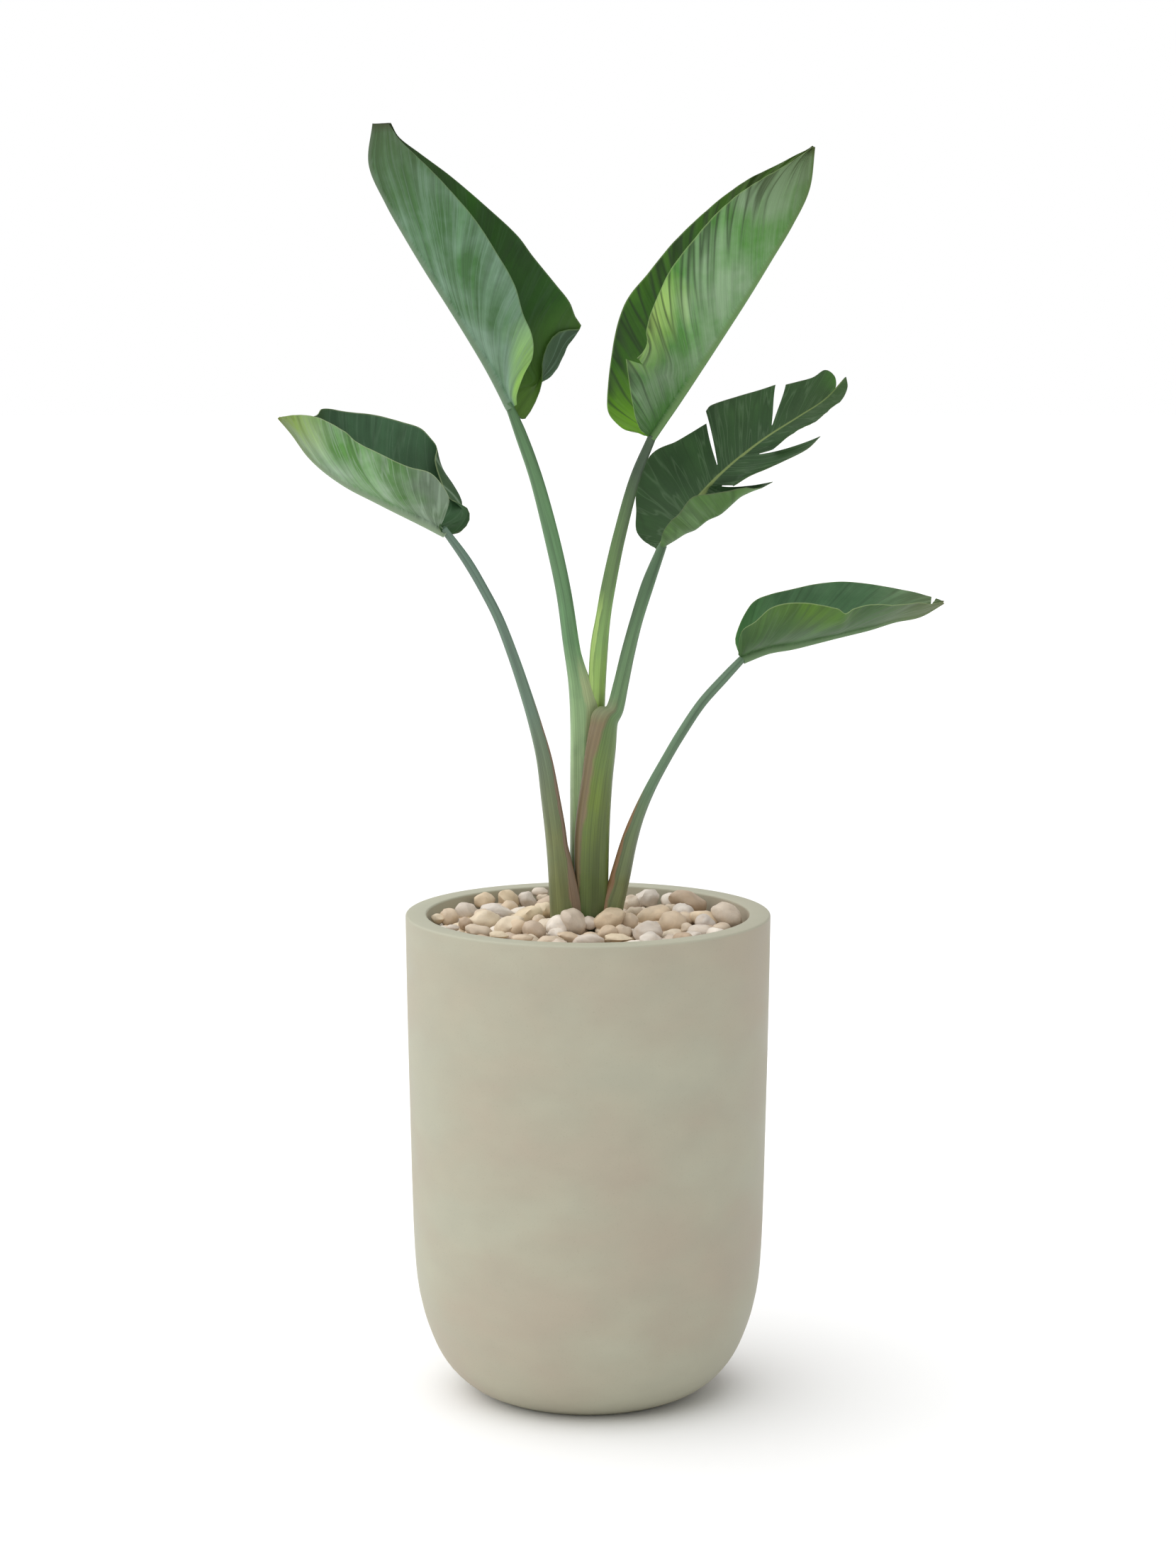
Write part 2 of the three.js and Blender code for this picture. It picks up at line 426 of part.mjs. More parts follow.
const BLADES = {
  tall_left: {
    rib: [
      [-101, 22, 1359], [-128, 22, 1409], [-155, 20, 1453], [-184, 18, 1498], [-213, 14, 1542],
      [-241, 10, 1587], [-267, 5, 1632], [-289, 0, 1682], [-284, -6, 1735],
    ],
    left: {
      lobes: [[
        [0, -96, 14, 1363], [0.03, -95, 0, 1378], [0.06, -86, -16, 1403], [0.1, -74, -28, 1427],
        [0.16, -74, -40, 1455], [0.23, -86, -46, 1485], [0.32, -97, -50, 1523],
        [0.44, -122, -52, 1567], [0.56, -150, -50, 1610], [0.7, -192, -44, 1658],
        [0.84, -228, -34, 1693], [0.93, -250, -22, 1714], [1, -264, -12, 1734],
      ]],
      tears: [],
      roll: [[0, 0.25, 0, 0], [0.1, 0.24, 0, 0], [0.5, 0.14, 0, 0], [1, 0.04, 0, 0]],
    },
    right: {
      lobes: [[
        [0, -93, 30, 1347], [0.015, -85, 36, 1343], [0.03, -72, 42, 1364], [0.045, -63, 46, 1391],
        [0.065, -62, 52, 1421], [0.08, -53, 56, 1446], [0.095, -36, 60, 1461],
        [0.11, -10, 64, 1464], [0.13, -17, 64, 1479], [0.17, -25, 64, 1499], [0.24, -43, 62, 1522],
        [0.34, -74, 58, 1560], [0.44, -96, 54, 1589], [0.56, -136, 48, 1626],
        [0.68, -183, 38, 1666], [0.8, -225, 26, 1697], [0.92, -252, 10, 1718], [1, -262, -2, 1736],
      ]],
      tears: [],
      roll: [
        [0, 0.3, 0.2, 0], [0.035, 0.3, 0.2, 0.15], [0.06, 0.35, 0.4, 0.55], [0.08, 0.35, 0.5, 0.85],
        [0.095, 0.35, 0.4, 0.7], [0.11, 0.3, 0.1, 0.25], [0.15, 0.2, 0, 0], [0.3, 0.16, 0, 0],
        [1, 0.04, 0, 0],
      ],
    },
  },
  tall_right: {
    rib: [
      [81, -18, 1322], [114, -22, 1368], [147, -26, 1416], [178, -30, 1462], [209, -36, 1509],
      [239, -42, 1557], [267, -50, 1603], [289, -58, 1649], [296, -68, 1703],
    ],
    left: {
      lobes: [[
        [0, 80, -9, 1321], [0.02, 67, 0, 1325], [0.05, 48, 12, 1330], [0.09, 29, 22, 1348],
        [0.14, 26, 26, 1372], [0.2, 30, 28, 1415], [0.28, 38, 28, 1463], [0.36, 52, 26, 1502],
        [0.46, 79, 22, 1536], [0.57, 116, 14, 1581], [0.69, 164, 2, 1626], [0.8, 208, -14, 1659],
        [0.9, 249, -34, 1680], [1, 296, -62, 1704],
      ]],
      tears: [],
      roll: [[0, 0.3, 0, 0], [0.15, 0.2, 0, 0], [0.5, 0.14, 0, 0], [1, 0.04, 0, 0]],
    },
    right: {
      lobes: [
        [
          [0, 78, -27, 1325], [0.04, 70, -42, 1331], [0.08, 63, -54, 1349], [0.14, 56, -64, 1385],
          [0.19, 50, -70, 1426],
        ],
        [
          [0.19, 65, -75, 1427], [0.2, 73, -76, 1435], [0.212, 78, -78, 1446],
          [0.25, 77, -80, 1464], [0.33, 87, -84, 1497], [0.42, 108, -87, 1542],
          [0.52, 139, -90, 1583], [0.63, 170, -91, 1618], [0.75, 207, -90, 1648],
          [0.86, 247, -86, 1672], [0.94, 275, -80, 1689], [1, 293, -71, 1702],
        ],
      ],
      tears: [{ column: 5, gap: 0 }],
      roll: [[0, 0.25, 0, 0], [0.15, 0.2, 0, 0], [0.5, 0.14, 0, 0], [1, 0.04, 0, 0]],
    },
  },
  mid_right: {
    rib: [
      [94, 48, 1164], [118, 52, 1201], [147, 56, 1232], [177, 60, 1263], [211, 64, 1292],
      [248, 67, 1319], [286, 70, 1343], [322, 72, 1367], [350, 70, 1397],
    ],
    left: {
      lobes: [
        [
          [0, 89, 54, 1168], [0.03, 76, 60, 1175], [0.06, 66, 66, 1189], [0.1, 66, 72, 1214],
          [0.15, 67, 78, 1245], [0.2, 85, 84, 1290], [0.28, 122, 86, 1310], [0.385, 162, 86, 1334],
        ],
        [
          [0.385, 161, 80, 1351], [0.41, 168, 80, 1359], [0.48, 204, 80, 1371],
          [0.56, 235, 80, 1380], [0.625, 256, 80, 1387],
        ],
        [
          [0.625, 270, 82, 1387], [0.66, 286, 82, 1391], [0.71, 307, 80, 1397],
          [0.76, 323, 78, 1407], [0.82, 336, 74, 1399], [0.87, 338, 72, 1385], [0.9, 333, 72, 1374],
        ],
      ],
      tears: [{ column: 2, gap: 2 }, { column: 2, gap: 2 }],
      roll: [[0, 0.1, 0, 0], [0.5, 0.08, 0, 0], [1, 0.03, 0, 0]],
    },
    right: {
      lobes: [
        [
          [0, 98, 40, 1168], [0.05, 101, 14, 1189], [0.1, 110, 4, 1204], [0.16, 123, -4, 1217],
          [0.22, 141, -4, 1239], [0.27, 166, 4, 1243], [0.29, 190, 14, 1246],
          [0.305, 212, 24, 1250], [0.32, 233, 34, 1248], [0.33, 251, 40, 1257],
        ],
        [
          [0.33, 197, 30, 1252], [0.37, 223, 26, 1267], [0.42, 260, 26, 1284],
          [0.46, 297, 34, 1301], [0.49, 316, 44, 1318],
        ],
        [
          [0.49, 255, 46, 1303], [0.58, 284, 46, 1326], [0.68, 309, 50, 1339],
          [0.78, 328, 54, 1354], [0.88, 345, 58, 1367], [0.95, 353, 62, 1384], [1, 351, 66, 1398],
        ],
      ],
      tears: [{ column: 2, gap: 4 }, { column: 2, gap: 4 }],
      roll: [
        [0, 0.7, 0, 0], [0.1, 0.95, 0, 0], [0.2, 1.1, 0, 0], [0.27, 1.3, 0, 0], [0.3, 1.15, 0, 0],
        [0.32, 0.6, 0, 0], [0.33, 0.2, 0, 0], [0.4, 0.15, 0, 0], [1, 0.05, 0, 0],
      ],
    },
  },
  low_left: {
    rib: [
      [-187, -95, 1201], [-221, -104, 1218], [-252, -113, 1233], [-282, -122, 1248],
      [-313, -132, 1264], [-342, -142, 1284], [-364, -152, 1305], [-383, -164, 1332],
      [-401, -176, 1354],
    ],
    left: {
      lobes: [[
        [0, -195, -103, 1200], [0.02, -197, -112, 1208], [0.04, -187, -128, 1226],
        [0.065, -182, -140, 1246], [0.09, -191, -150, 1265], [0.13, -206, -158, 1281],
        [0.2, -235, -168, 1290], [0.3, -268, -176, 1306], [0.4, -300, -180, 1322],
        [0.48, -316, -182, 1336], [0.6, -345, -182, 1352], [0.72, -366, -182, 1357],
        [0.86, -384, -182, 1357], [1, -400, -180, 1355],
      ]],
      tears: [],
      roll: [[0, 0.3, 0, 0], [0.1, 0.3, 0, 0], [0.3, 0.18, 0, 0], [1, 0.05, 0, 0]],
    },
    right: {
      lobes: [[
        [0, -186, -86, 1195], [0.015, -169, -72, 1198], [0.03, -158, -64, 1212],
        [0.045, -160, -66, 1228], [0.06, -174, -74, 1237], [0.08, -186, -80, 1245],
        [0.1, -195, -80, 1265], [0.13, -203, -72, 1292], [0.155, -201, -64, 1308],
        [0.185, -210, -60, 1322], [0.22, -222, -56, 1334], [0.3, -245, -56, 1342],
        [0.42, -282, -66, 1352], [0.54, -318, -82, 1357], [0.64, -349, -100, 1362],
        [0.72, -357, -120, 1354], [0.85, -379, -150, 1350], [1, -401, -172, 1353],
      ]],
      tears: [],
      roll: [
        [0, 0.3, 0.1, 0], [0.03, 0.3, 0.15, 0.1], [0.045, 0.3, 0.25, 0.35],
        [0.06, 0.35, 0.45, 0.95], [0.09, 0.35, 0.5, 1.4], [0.12, 0.35, 0.35, 1.15],
        [0.15, 0.3, 0.1, 0.5], [0.19, 0.25, 0.05, 0.1], [0.35, 0.18, 0, 0], [1, 0.05, 0, 0],
      ],
    },
  },
  low_right: {
    rib: [
      [212, 80, 1014], [248, 90, 1025], [283, 100, 1029], [320, 109, 1036], [356, 118, 1043],
      [392, 127, 1050], [427, 136, 1059], [463, 144, 1065], [496, 152, 1082],
    ],
    left: {
      lobes: [
        [
          [0, 210, 88, 1014], [0.015, 204, 96, 1030], [0.03, 205, 104, 1042],
          [0.05, 214, 114, 1064], [0.09, 229, 122, 1085], [0.15, 251, 126, 1095],
          [0.24, 281, 130, 1102], [0.35, 316, 136, 1109], [0.46, 351, 142, 1112],
          [0.58, 386, 148, 1109], [0.7, 421, 154, 1103], [0.82, 454, 158, 1096],
          [0.92, 480, 158, 1089],
        ],
        [[0.92, 486, 157, 1087], [1, 497, 155, 1083]],
      ],
      tears: [{ column: 2, gap: 0 }],
      roll: [[0, 0.3, 0, 0], [0.1, 0.3, 0, 0], [0.3, 0.2, 0, 0], [1, 0.05, 0, 0]],
    },
    right: {
      lobes: [[
        [0, 207, 72, 1017], [0.02, 207, 58, 1034], [0.05, 211, 46, 1053], [0.09, 228, 38, 1066],
        [0.14, 248, 32, 1085], [0.2, 272, 32, 1092], [0.3, 306, 38, 1091], [0.4, 341, 48, 1083],
        [0.45, 353, 56, 1075], [0.5, 365, 60, 1082], [0.58, 391, 70, 1087], [0.68, 424, 84, 1085],
        [0.78, 450, 100, 1086], [0.9, 477, 126, 1082], [1, 495, 148, 1082],
      ]],
      tears: [],
      roll: [[0, 0.3, 0, 0], [0.1, 0.3, 0, 0], [0.3, 0.2, 0, 0], [1, 0.05, 0, 0]],
    },
  },
};

Object.entries(BLADES).forEach(([name, blade]) => {
  let solid = bladeSolid(blade);
  Object.values(STALKS).forEach((stalk) => {
    solid = solid.subtract(stalkSolid(stalk, CLEARANCE));
  });
  addPart(`blade_${name}`, toGeometry(solid), 0x4f7a33, 0.45);
});

// ---------------------------------------------------------------- crown, soil and pebbles

// A prism with an oval outline round the clump of stalks, grown outwards by margin
function clumpPrism(bottom, top, margin, segments) {
  const outline = new THREE.Shape();
  const { x, y, halfWidth, halfDepth } = CLUMP;
  outline.absellipse(x, y, halfWidth + margin, halfDepth + margin, 0, 2 * Math.PI, false, 0);
  const options = { depth: top - bottom, bevelEnabled: false, curveSegments: segments };
  const prism = new THREE.ExtrudeGeometry(outline, options);
  return prism.translate(0, 0, bottom);
}

const CROWN_DEPTH = 70;
const CLUMP_SEGMENTS = 20;

addPart(
  'crown',
  clumpPrism(FOOT - CROWN_DEPTH, FOOT - 2 * CLEARANCE, -CLEARANCE, CLUMP_SEGMENTS),
  0x8a6a4a,
  0.9,
);

function makeSoil() {
  const levels = [...POT_INSIDE_LEVELS.slice(1), SOIL_TOP];
  const side = levels.map((height) => [potInside(height) - CLEARANCE, height]);
  const bottom = POT_FLOOR + CLEARANCE;
  const profile = [[0, bottom], [POT_FLOOR_RADIUS, bottom], ...side, [0, SOIL_TOP]];
  const column = toSolid(turned(profile, POT_SEGMENTS));
  const pit = FOOT - CROWN_DEPTH - CLEARANCE;
  const hole = toSolid(clumpPrism(pit, POT_HEIGHT, 0, CLUMP_SEGMENTS));
  return toGeometry(column.subtract(hole));
}

addPart('soil', makeSoil(), 0x3d2f24, 0.95);

const PEBBLES = 96;
const PEBBLE_SEED = 2404;
const PEBBLE_HALF_LENGTH = [17, 27];
const PEBBLE_WIDTH_SHARE = [0.66, 0.9];
const PEBBLE_HEIGHT_SHARE = [0.6, 0.8];
const PEBBLE_LIFT = [-3, 3];
const PEBBLE_TILT = [-0.25, 0.25];
const GOLDEN_ANGLE = Math.PI * (3 - Math.sqrt(5));
const BED_RADIUS = POT_RADIUS - POT_WALL - 1.5;
const BED_TOP = 655;
const BED_HEAP = 8;
const BED_LID = POT_HEIGHT + 2 * BED_HEAP;

// Pebbles lie in a spiral that fills the ring evenly, each sized, tilted and turned by a draw,
// and are heaped a little towards the stalks
function makePebbles() {
  const draw = seededDraws(PEBBLE_SEED);
  const between = ([low, high]) => THREE.MathUtils.lerp(low, high, draw());
  const bottom = SOIL_TOP + CLEARANCE;
  const disc = (edge, middle) => toSolid(turned(
    [[0, bottom], [BED_RADIUS, bottom], [BED_RADIUS, edge], [0, middle]],
    POT_SEGMENTS,
  ));
  let bed = disc(BED_TOP, BED_TOP + BED_HEAP);
  for (let i = 0; i < PEBBLES; i += 1) {
    const reach = Math.sqrt((i + 0.5) / PEBBLES);
    const angle = i * GOLDEN_ANGLE;
    const length = between(PEBBLE_HALF_LENGTH);
    const width = length * between(PEBBLE_WIDTH_SHARE);
    const height = width * between(PEBBLE_HEIGHT_SHARE);
    const lift = between(PEBBLE_LIFT);
    const ring = Math.min(reach * BED_RADIUS, BED_RADIUS - width);
    const pebble = new THREE.SphereGeometry(1, 6, 4).rotateX(Math.PI / 2);
    pebble.scale(length, width, height);
    pebble.rotateX(between(PEBBLE_TILT));
    pebble.rotateZ(between([0, Math.PI]));
    const top = BED_TOP + BED_HEAP * (1 - reach) + lift;
    pebble.translate(ring * Math.cos(angle), ring * Math.sin(angle), top);
    bed = bed.add(toSolid(pebble));
  }
  const hole = toSolid(clumpPrism(bottom - CLEARANCE, BED_LID, 0, CLUMP_SEGMENTS));
  return toGeometry(bed.intersect(disc(POT_HEIGHT, BED_LID)).subtract(hole));
}

addPart('pebbles', makePebbles(), 0xc9b795, 0.7);

export default group;
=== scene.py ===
"""A potted bird of paradise: a cast stone pot, soil, five leaves on one crown, and pebbles.

Places are in metres in the frame's axes: +Z up, the front towards -Y, and the origin at the
centre of the pot's foot. Control points are written in millimetres and multiplied by MM.
"""

import random
from functools import partial
from math import cos, exp, hypot, pi, radians, sin, sqrt

import bmesh
import bpy
import numpy as np
from mathutils import Euler, Matrix, Vector, noise


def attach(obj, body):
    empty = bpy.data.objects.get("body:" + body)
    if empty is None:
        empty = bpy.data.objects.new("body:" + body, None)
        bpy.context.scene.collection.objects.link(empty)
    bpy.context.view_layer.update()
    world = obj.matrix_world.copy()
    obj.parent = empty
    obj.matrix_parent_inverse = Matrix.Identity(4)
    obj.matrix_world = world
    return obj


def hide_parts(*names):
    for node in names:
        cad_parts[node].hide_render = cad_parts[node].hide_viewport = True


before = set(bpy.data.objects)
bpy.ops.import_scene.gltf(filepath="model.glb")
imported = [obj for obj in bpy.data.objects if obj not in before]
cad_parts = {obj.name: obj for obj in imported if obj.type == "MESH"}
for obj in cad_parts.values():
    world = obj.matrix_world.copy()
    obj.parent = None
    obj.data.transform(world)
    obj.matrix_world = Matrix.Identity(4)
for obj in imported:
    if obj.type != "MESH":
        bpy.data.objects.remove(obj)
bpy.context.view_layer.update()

MM = 0.001
MERGE_DISTANCE = 1e-6

# ---------------------------------------------------------------- pot
# The pot is cast in one piece from stone powder and resin, with a flat foot, a wall as thick
# as a thumb and a flat rim. Its skin is rubbed smooth, and pale and dark clouds show in it.

POT_HEIGHT = 670
POT_RADIUS = 250
POT_WALL = 29
POT_FOOT_RADIUS = 138
POT_FLOOR = 36
POT_FLOOR_RADIUS = 140
POT_STEPS = 144
RIM_ROUND = 3
ROUND_STEPS = 4
# Outer wall between foot and rim: height, radius
POT_OUTSIDE = [
    (0, POT_FOOT_RADIUS), (12, 163), (32, 187), (56, 205), (84, 218), (118, 229), (160, 237),
    (230, 241.5), (360, 244.7), (520, 248), (POT_HEIGHT - RIM_ROUND, POT_RADIUS),
]
POT_LEVELS = [*range(2, 30, 4), *range(32, 120, 8), *range(120, 240, 20), *range(240, 660, 60)]
POT_INSIDE_LEVELS = [56, 84, 110, 160, 230, 360, 520]
SHARP_ANGLE = radians(50)
STONE_COOL = "acaa96"
STONE_MIDDLE = "aba692"
STONE_WARM = "aba28f"
# Colour and depth of the paler band on top of the rim: painted highlight
STONE_RIM_HIGHLIGHT = "acac98"
RIM_HIGHLIGHT_BAND = 4


def along(stops, t):
    """The smooth value at t of stops (t, value, ...), which passes through every stop."""
    last = len(stops) - 1
    i = 0
    while i < last - 1 and t > stops[i + 1][0]:
        i += 1
    row = np.asarray(stops[max(i - 1, 0):i + 3], dtype=float)
    here = min(i, 1)
    start, end = row[here], row[here + 1]
    gap = end[0] - start[0]
    s = (t - start[0]) / gap

    def slope(k):
        before, after = row[max(k - 1, 0)], row[min(k + 1, len(row) - 1)]
        return (after - before)[1:] / (after[0] - before[0])

    rise = (3 - 2 * s) * s * s
    leave = s * (1 - s) ** 2 * gap * slope(here)
    arrive = -s * s * (1 - s) * gap * slope(here + 1)
    return start[1:] + (end - start)[1:] * rise + leave + arrive


def unit(vector):
    return vector / np.linalg.norm(vector)


def rounded(corner, before, after, radius):
    """A profile's corner as a quarter round that starts towards before and ends towards after."""
    corner, before, after = (np.array(p, dtype=float) for p in (corner, before, after))
    leave = unit(before - corner) * radius
    arrive = unit(after - corner) * radius
    turns = [n / ROUND_STEPS * pi / 2 for n in range(ROUND_STEPS + 1)]
    return [corner + leave * (1 - sin(a)) + arrive * (1 - cos(a)) for a in turns]


def pot_profile():
    outside = [(along(POT_OUTSIDE, height)[0], height) for height in POT_LEVELS]
    inside = [(along(POT_OUTSIDE, height)[0] - POT_WALL, height) for height in POT_INSIDE_LEVELS]
    foot = rounded((POT_FOOT_RADIUS, 0), (0, 0), outside[0], RIM_ROUND)
    brim = (POT_RADIUS - POT_WALL, POT_HEIGHT)
    outer_rim = rounded((POT_RADIUS, POT_HEIGHT), (POT_RADIUS, 0), brim, RIM_ROUND)
    inner_rim = rounded(brim, (POT_RADIUS, POT_HEIGHT), (brim[0], 0), RIM_ROUND)
    floor = [(POT_FLOOR_RADIUS, POT_FLOOR), (0, POT_FLOOR)]
    return [(0, 0), *foot, *outside, *outer_rim, *inner_rim, *reversed(inside), *floor]


def spun(profile, steps):
    """A closed body of revolution round Z from a profile of (radius, height)."""
    bm = bmesh.new()
    corners = [bm.verts.new((radius * MM, 0, height * MM)) for radius, height in profile]
    edges = [bm.edges.new(pair) for pair in zip(corners, corners[1:])]
    bmesh.ops.spin(
        bm, geom=corners + edges, cent=(0, 0, 0), axis=(0, 0, 1), angle=2 * pi,
        steps=steps, use_merge=True,
    )
    bmesh.ops.remove_doubles(bm, verts=bm.verts, dist=MERGE_DISTANCE)
    bmesh.ops.recalc_face_normals(bm, faces=bm.faces)
    return bm


def shade(code):
    """The linear colour of a six-figure colour code."""
    parts = [int(code[i:i + 2], 16) / 255 for i in (0, 2, 4)]
    return (*[p / 12.92 if p <= 0.04045 else ((p + 0.055) / 1.055) ** 2.4 for p in parts], 1)


def node(tree, kind, inputs=None, **settings):
    """A shader node with its settings, and each input given a value or linked to a socket."""
    made = tree.nodes.new("ShaderNode" + kind)
    for name, value in settings.items():
        setattr(made, name, value)
    for name, value in (inputs or {}).items():
        if isinstance(value, bpy.types.NodeSocket):
            tree.links.new(value, made.inputs[name])
        else:
            made.inputs[name].default_value = value
    return made


def effect(kind, inputs, **settings):
    """A shader node in the tree that the first socket among its inputs belongs to."""
    sockets = (value for value in inputs.values() if isinstance(value, bpy.types.NodeSocket))
    return node(next(sockets).id_data, kind, inputs, **settings)


def maths(operation, *values):
    """The result of a Math node, clamped to 0 to 1 where the operation's name ends in a dot."""
    clamp = operation.endswith(".")
    made = effect("Math", dict(enumerate(values)), operation=operation.rstrip("."), use_clamp=clamp)
    return made.outputs[0]


times, plus, minus = (partial(maths, name) for name in ("MULTIPLY", "ADD", "SUBTRACT"))


def blend(factor, first, second):
    """A mix of two colours."""
    return effect("Mix", {0: factor, 6: first, 7: second}, data_type="RGBA").outputs[2]


def ramp(factor, *stops):
    """A colour ramp of (position, colour code) stops."""
    made = effect("ValToRGB", {"Fac": factor})
    elements = made.color_ramp.elements
    while len(elements) < len(stops):
        elements.new(0.5)
    for element, (position, code) in zip(elements, stops):
        element.position = position
        element.color = shade(code)
    return made.outputs["Color"]


def span(value, low, high, to_low=0, to_high=1):
    """The value brought from low..high to to_low..to_high, and kept between them."""
    inputs = {0: value, 1: low, 2: high, 3: to_low, 4: to_high}
    return effect("MapRange", inputs, clamp=True).outputs[0]


def scaled(colour, factor):
    """A colour made lighter or darker."""
    inputs = {"Vector": colour, "Scale": factor}
    return effect("VectorMath", inputs, operation="SCALE").outputs["Vector"]


def places(tree):
    """Object coordinates, in metres."""
    return node(tree, "TexCoord").outputs["Object"]


def clouds(vector, scale, detail=3, roughness=0.5, distortion=0):
    """Cloudy noise between about 0.3 and 0.7."""
    inputs = {"Vector": vector, "Scale": scale, "Detail": detail, "Roughness": roughness}
    inputs["Distortion"] = distortion
    return effect("TexNoise", inputs).outputs["Fac"]


def new_material(name):
    material = bpy.data.materials.new(name)
    material.use_nodes = True
    material.node_tree.nodes.clear()
    return material, material.node_tree


def finish_material(tree, colour, roughness, height, relief, **plain):
    """Closes a material: colour and roughness to the shader, and height to its bump."""
    bump = node(tree, "Bump", {"Height": height, "Strength": 1, "Distance": relief})
    inputs = {"Base Color": colour, "Roughness": roughness, "Normal": bump.outputs["Normal"]}
    inputs.update({name.replace("_", " "): value for name, value in plain.items()})
    shader = node(tree, "BsdfPrincipled", inputs)
    node(tree, "OutputMaterial", {"Surface": shader.outputs[0]})


def cast_stone():
    material, tree = new_material("cast stone")
    where = places(tree)
    layers = effect("Mapping", {"Vector": where, "Scale": (1, 1, 1.7)}).outputs[0]
    wide = clouds(layers, 4, detail=4, roughness=0.5)
    body = ramp(wide, (0.38, STONE_WARM), (0.5, STONE_MIDDLE), (0.62, STONE_COOL))
    patches = clouds(layers, 13, detail=5)
    body = scaled(body, span(patches, 0.3, 0.7, 0.96, 1.04))
    specks = span(clouds(where, 420, detail=2), 0.62, 0.72, 0, 0.15)
    body = blend(specks, body, shade("857f6e"))
    height = effect("SeparateXYZ", {0: where}).outputs["Z"]
    # The top of the rim is made paler: painted highlight along the rim
    rim_highlight = span(height, (POT_HEIGHT - RIM_HIGHLIGHT_BAND) * MM, (POT_HEIGHT - 1) * MM, 0, 0.7)
    body = blend(rim_highlight, body, shade(STONE_RIM_HIGHLIGHT))
    grain = clouds(where, 900, detail=3)
    finish_material(tree, body, span(patches, 0.3, 0.7, 0.5, 0.66), grain, 0.1 * MM)
    return material


def mesh_object(bm, name, material):
    """An object at the origin with a finished mesh."""
    mesh = bpy.data.meshes.new(name)
    bm.to_mesh(mesh)
    bm.free()
    mesh.materials.append(material)
    made = bpy.data.objects.new(name, mesh)
    bpy.context.collection.objects.link(made)
    return made


def put_in_frame(bm, name, material, slot, *nodes):
    """The finished piece, smooth, its mesh in place, standing for its CAD nodes."""
    for edge in bm.edges:
        edge.smooth = edge.calc_face_angle(0) < SHARP_ANGLE
    piece = mesh_object(bm, name, material)
    piece.data.shade_smooth()
    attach(piece, "root")
    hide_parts(*nodes)


put_in_frame(spun(pot_profile(), POT_STEPS), "cast_pot", cast_stone(), "pot", "pot")

# ---------------------------------------------------------------- soil and crown
# Dark potting mix fills the pot to just under the rim. The crown is the plant's short stem in
# it, brown and fibrous, from which all the stalks grow. Both are the CAD solids themselves.


def earth():
    material, tree = new_material("potting mix")
    where = places(tree)
    crumbs = effect("TexVoronoi", {"Vector": where, "Scale": 160}).outputs["Distance"]
    colour = ramp(crumbs, (0, "1f1712"), (0.45, "382a20"), (0.9, "5a4532"))
    bark = span(clouds(where, 60, detail=6), 0.58, 0.66)
    colour = blend(times(bark, 0.5), colour, shade("6d5138"))
    finish_material(tree, colour, span(bark, 0, 1, 0.95, 0.8), crumbs, 3 * MM)
    return material


def crown_fibre():
    material, tree = new_material("crown fibre")
    where = places(tree)
    stretched = effect("Mapping", {"Vector": where, "Scale": (1, 1, 0.08)}).outputs[0]
    fibres = clouds(stretched, 260, detail=4)
    colour = ramp(fibres, (0.35, "4b3524"), (0.5, "7a5c3c"), (0.66, "a5845a"))
    finish_material(tree, colour, span(fibres, 0.3, 0.7, 0.9, 0.7), fibres, 1.5 * MM)
    return material


for name, material in (("soil", earth()), ("crown", crown_fibre())):
    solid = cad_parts[name].data
    solid.materials.clear()
    solid.materials.append(material)

# ---------------------------------------------------------------- stalks
# Five fleshy green stalks stand in the crown. Each is grooved on its upper side, and its foot
# widens into a sheath, brown and thin at its lips, that clasps the stalks inside it.

FOOT = 611
STALK_ROWS = 110
STALK_SIDES = 56
LIP_ANGLE = radians(122)
LIP_ROUND = 0.1
WALL_SHARE = 0.34
GROOVE_SHARE = 0.3
FLAP_BEND = 4
AXIS_STEP = 0.01
LIP_FADE = (25, 15)

# path, foot to top: x, y, z, half across, half deep, hollow. facing: the way the groove faces
# in plan, in degrees from +X, at foot and top. colours: up the stalk. lips: the colour of the lip
# on each side, how far it reaches round at the foot and at its end, and the height it ends at.
# flaps: which lip is drawn out, and by how much outwards and forwards at each height.
STALKS = {}
STALKS["tall_left"] = {
    "facing": (35, -5),
    "path": [
        (-12, 10, FOOT, 17, 12, 0.8), (-12, 10, 665, 17, 12, 0.75), (-12, 10, 760, 17, 12, 0.7),
        (-12, 11, 850, 17, 12, 0.55), (-12, 12, 925, 16.5, 12, 0.4), (-16, 14, 985, 13, 11, 0.12),
        (-24, 17, 1040, 11, 10.5, 0), (-34, 20, 1110, 10.5, 10, 0), (-50, 22, 1185, 10, 10, 0),
        (-70, 22, 1262, 9, 9, 0), (-91, 22, 1322, 8, 8, 0), (-108, 22, 1364, 6, 5, 0),
    ],
    "colours": ("8a9a66", "a9c48c", "60885a", "4f734a"),
    "lips": (("9aa878", 0.1, 0.4, 1010), ("7c8f63", 0.3, 0.2, 900)),
    "flaps": [(-1, [(915, 0, 0), (946, 1, 13), (972, 1, 10), (1003, 0, 3), (1025, 0, 0)])],
}
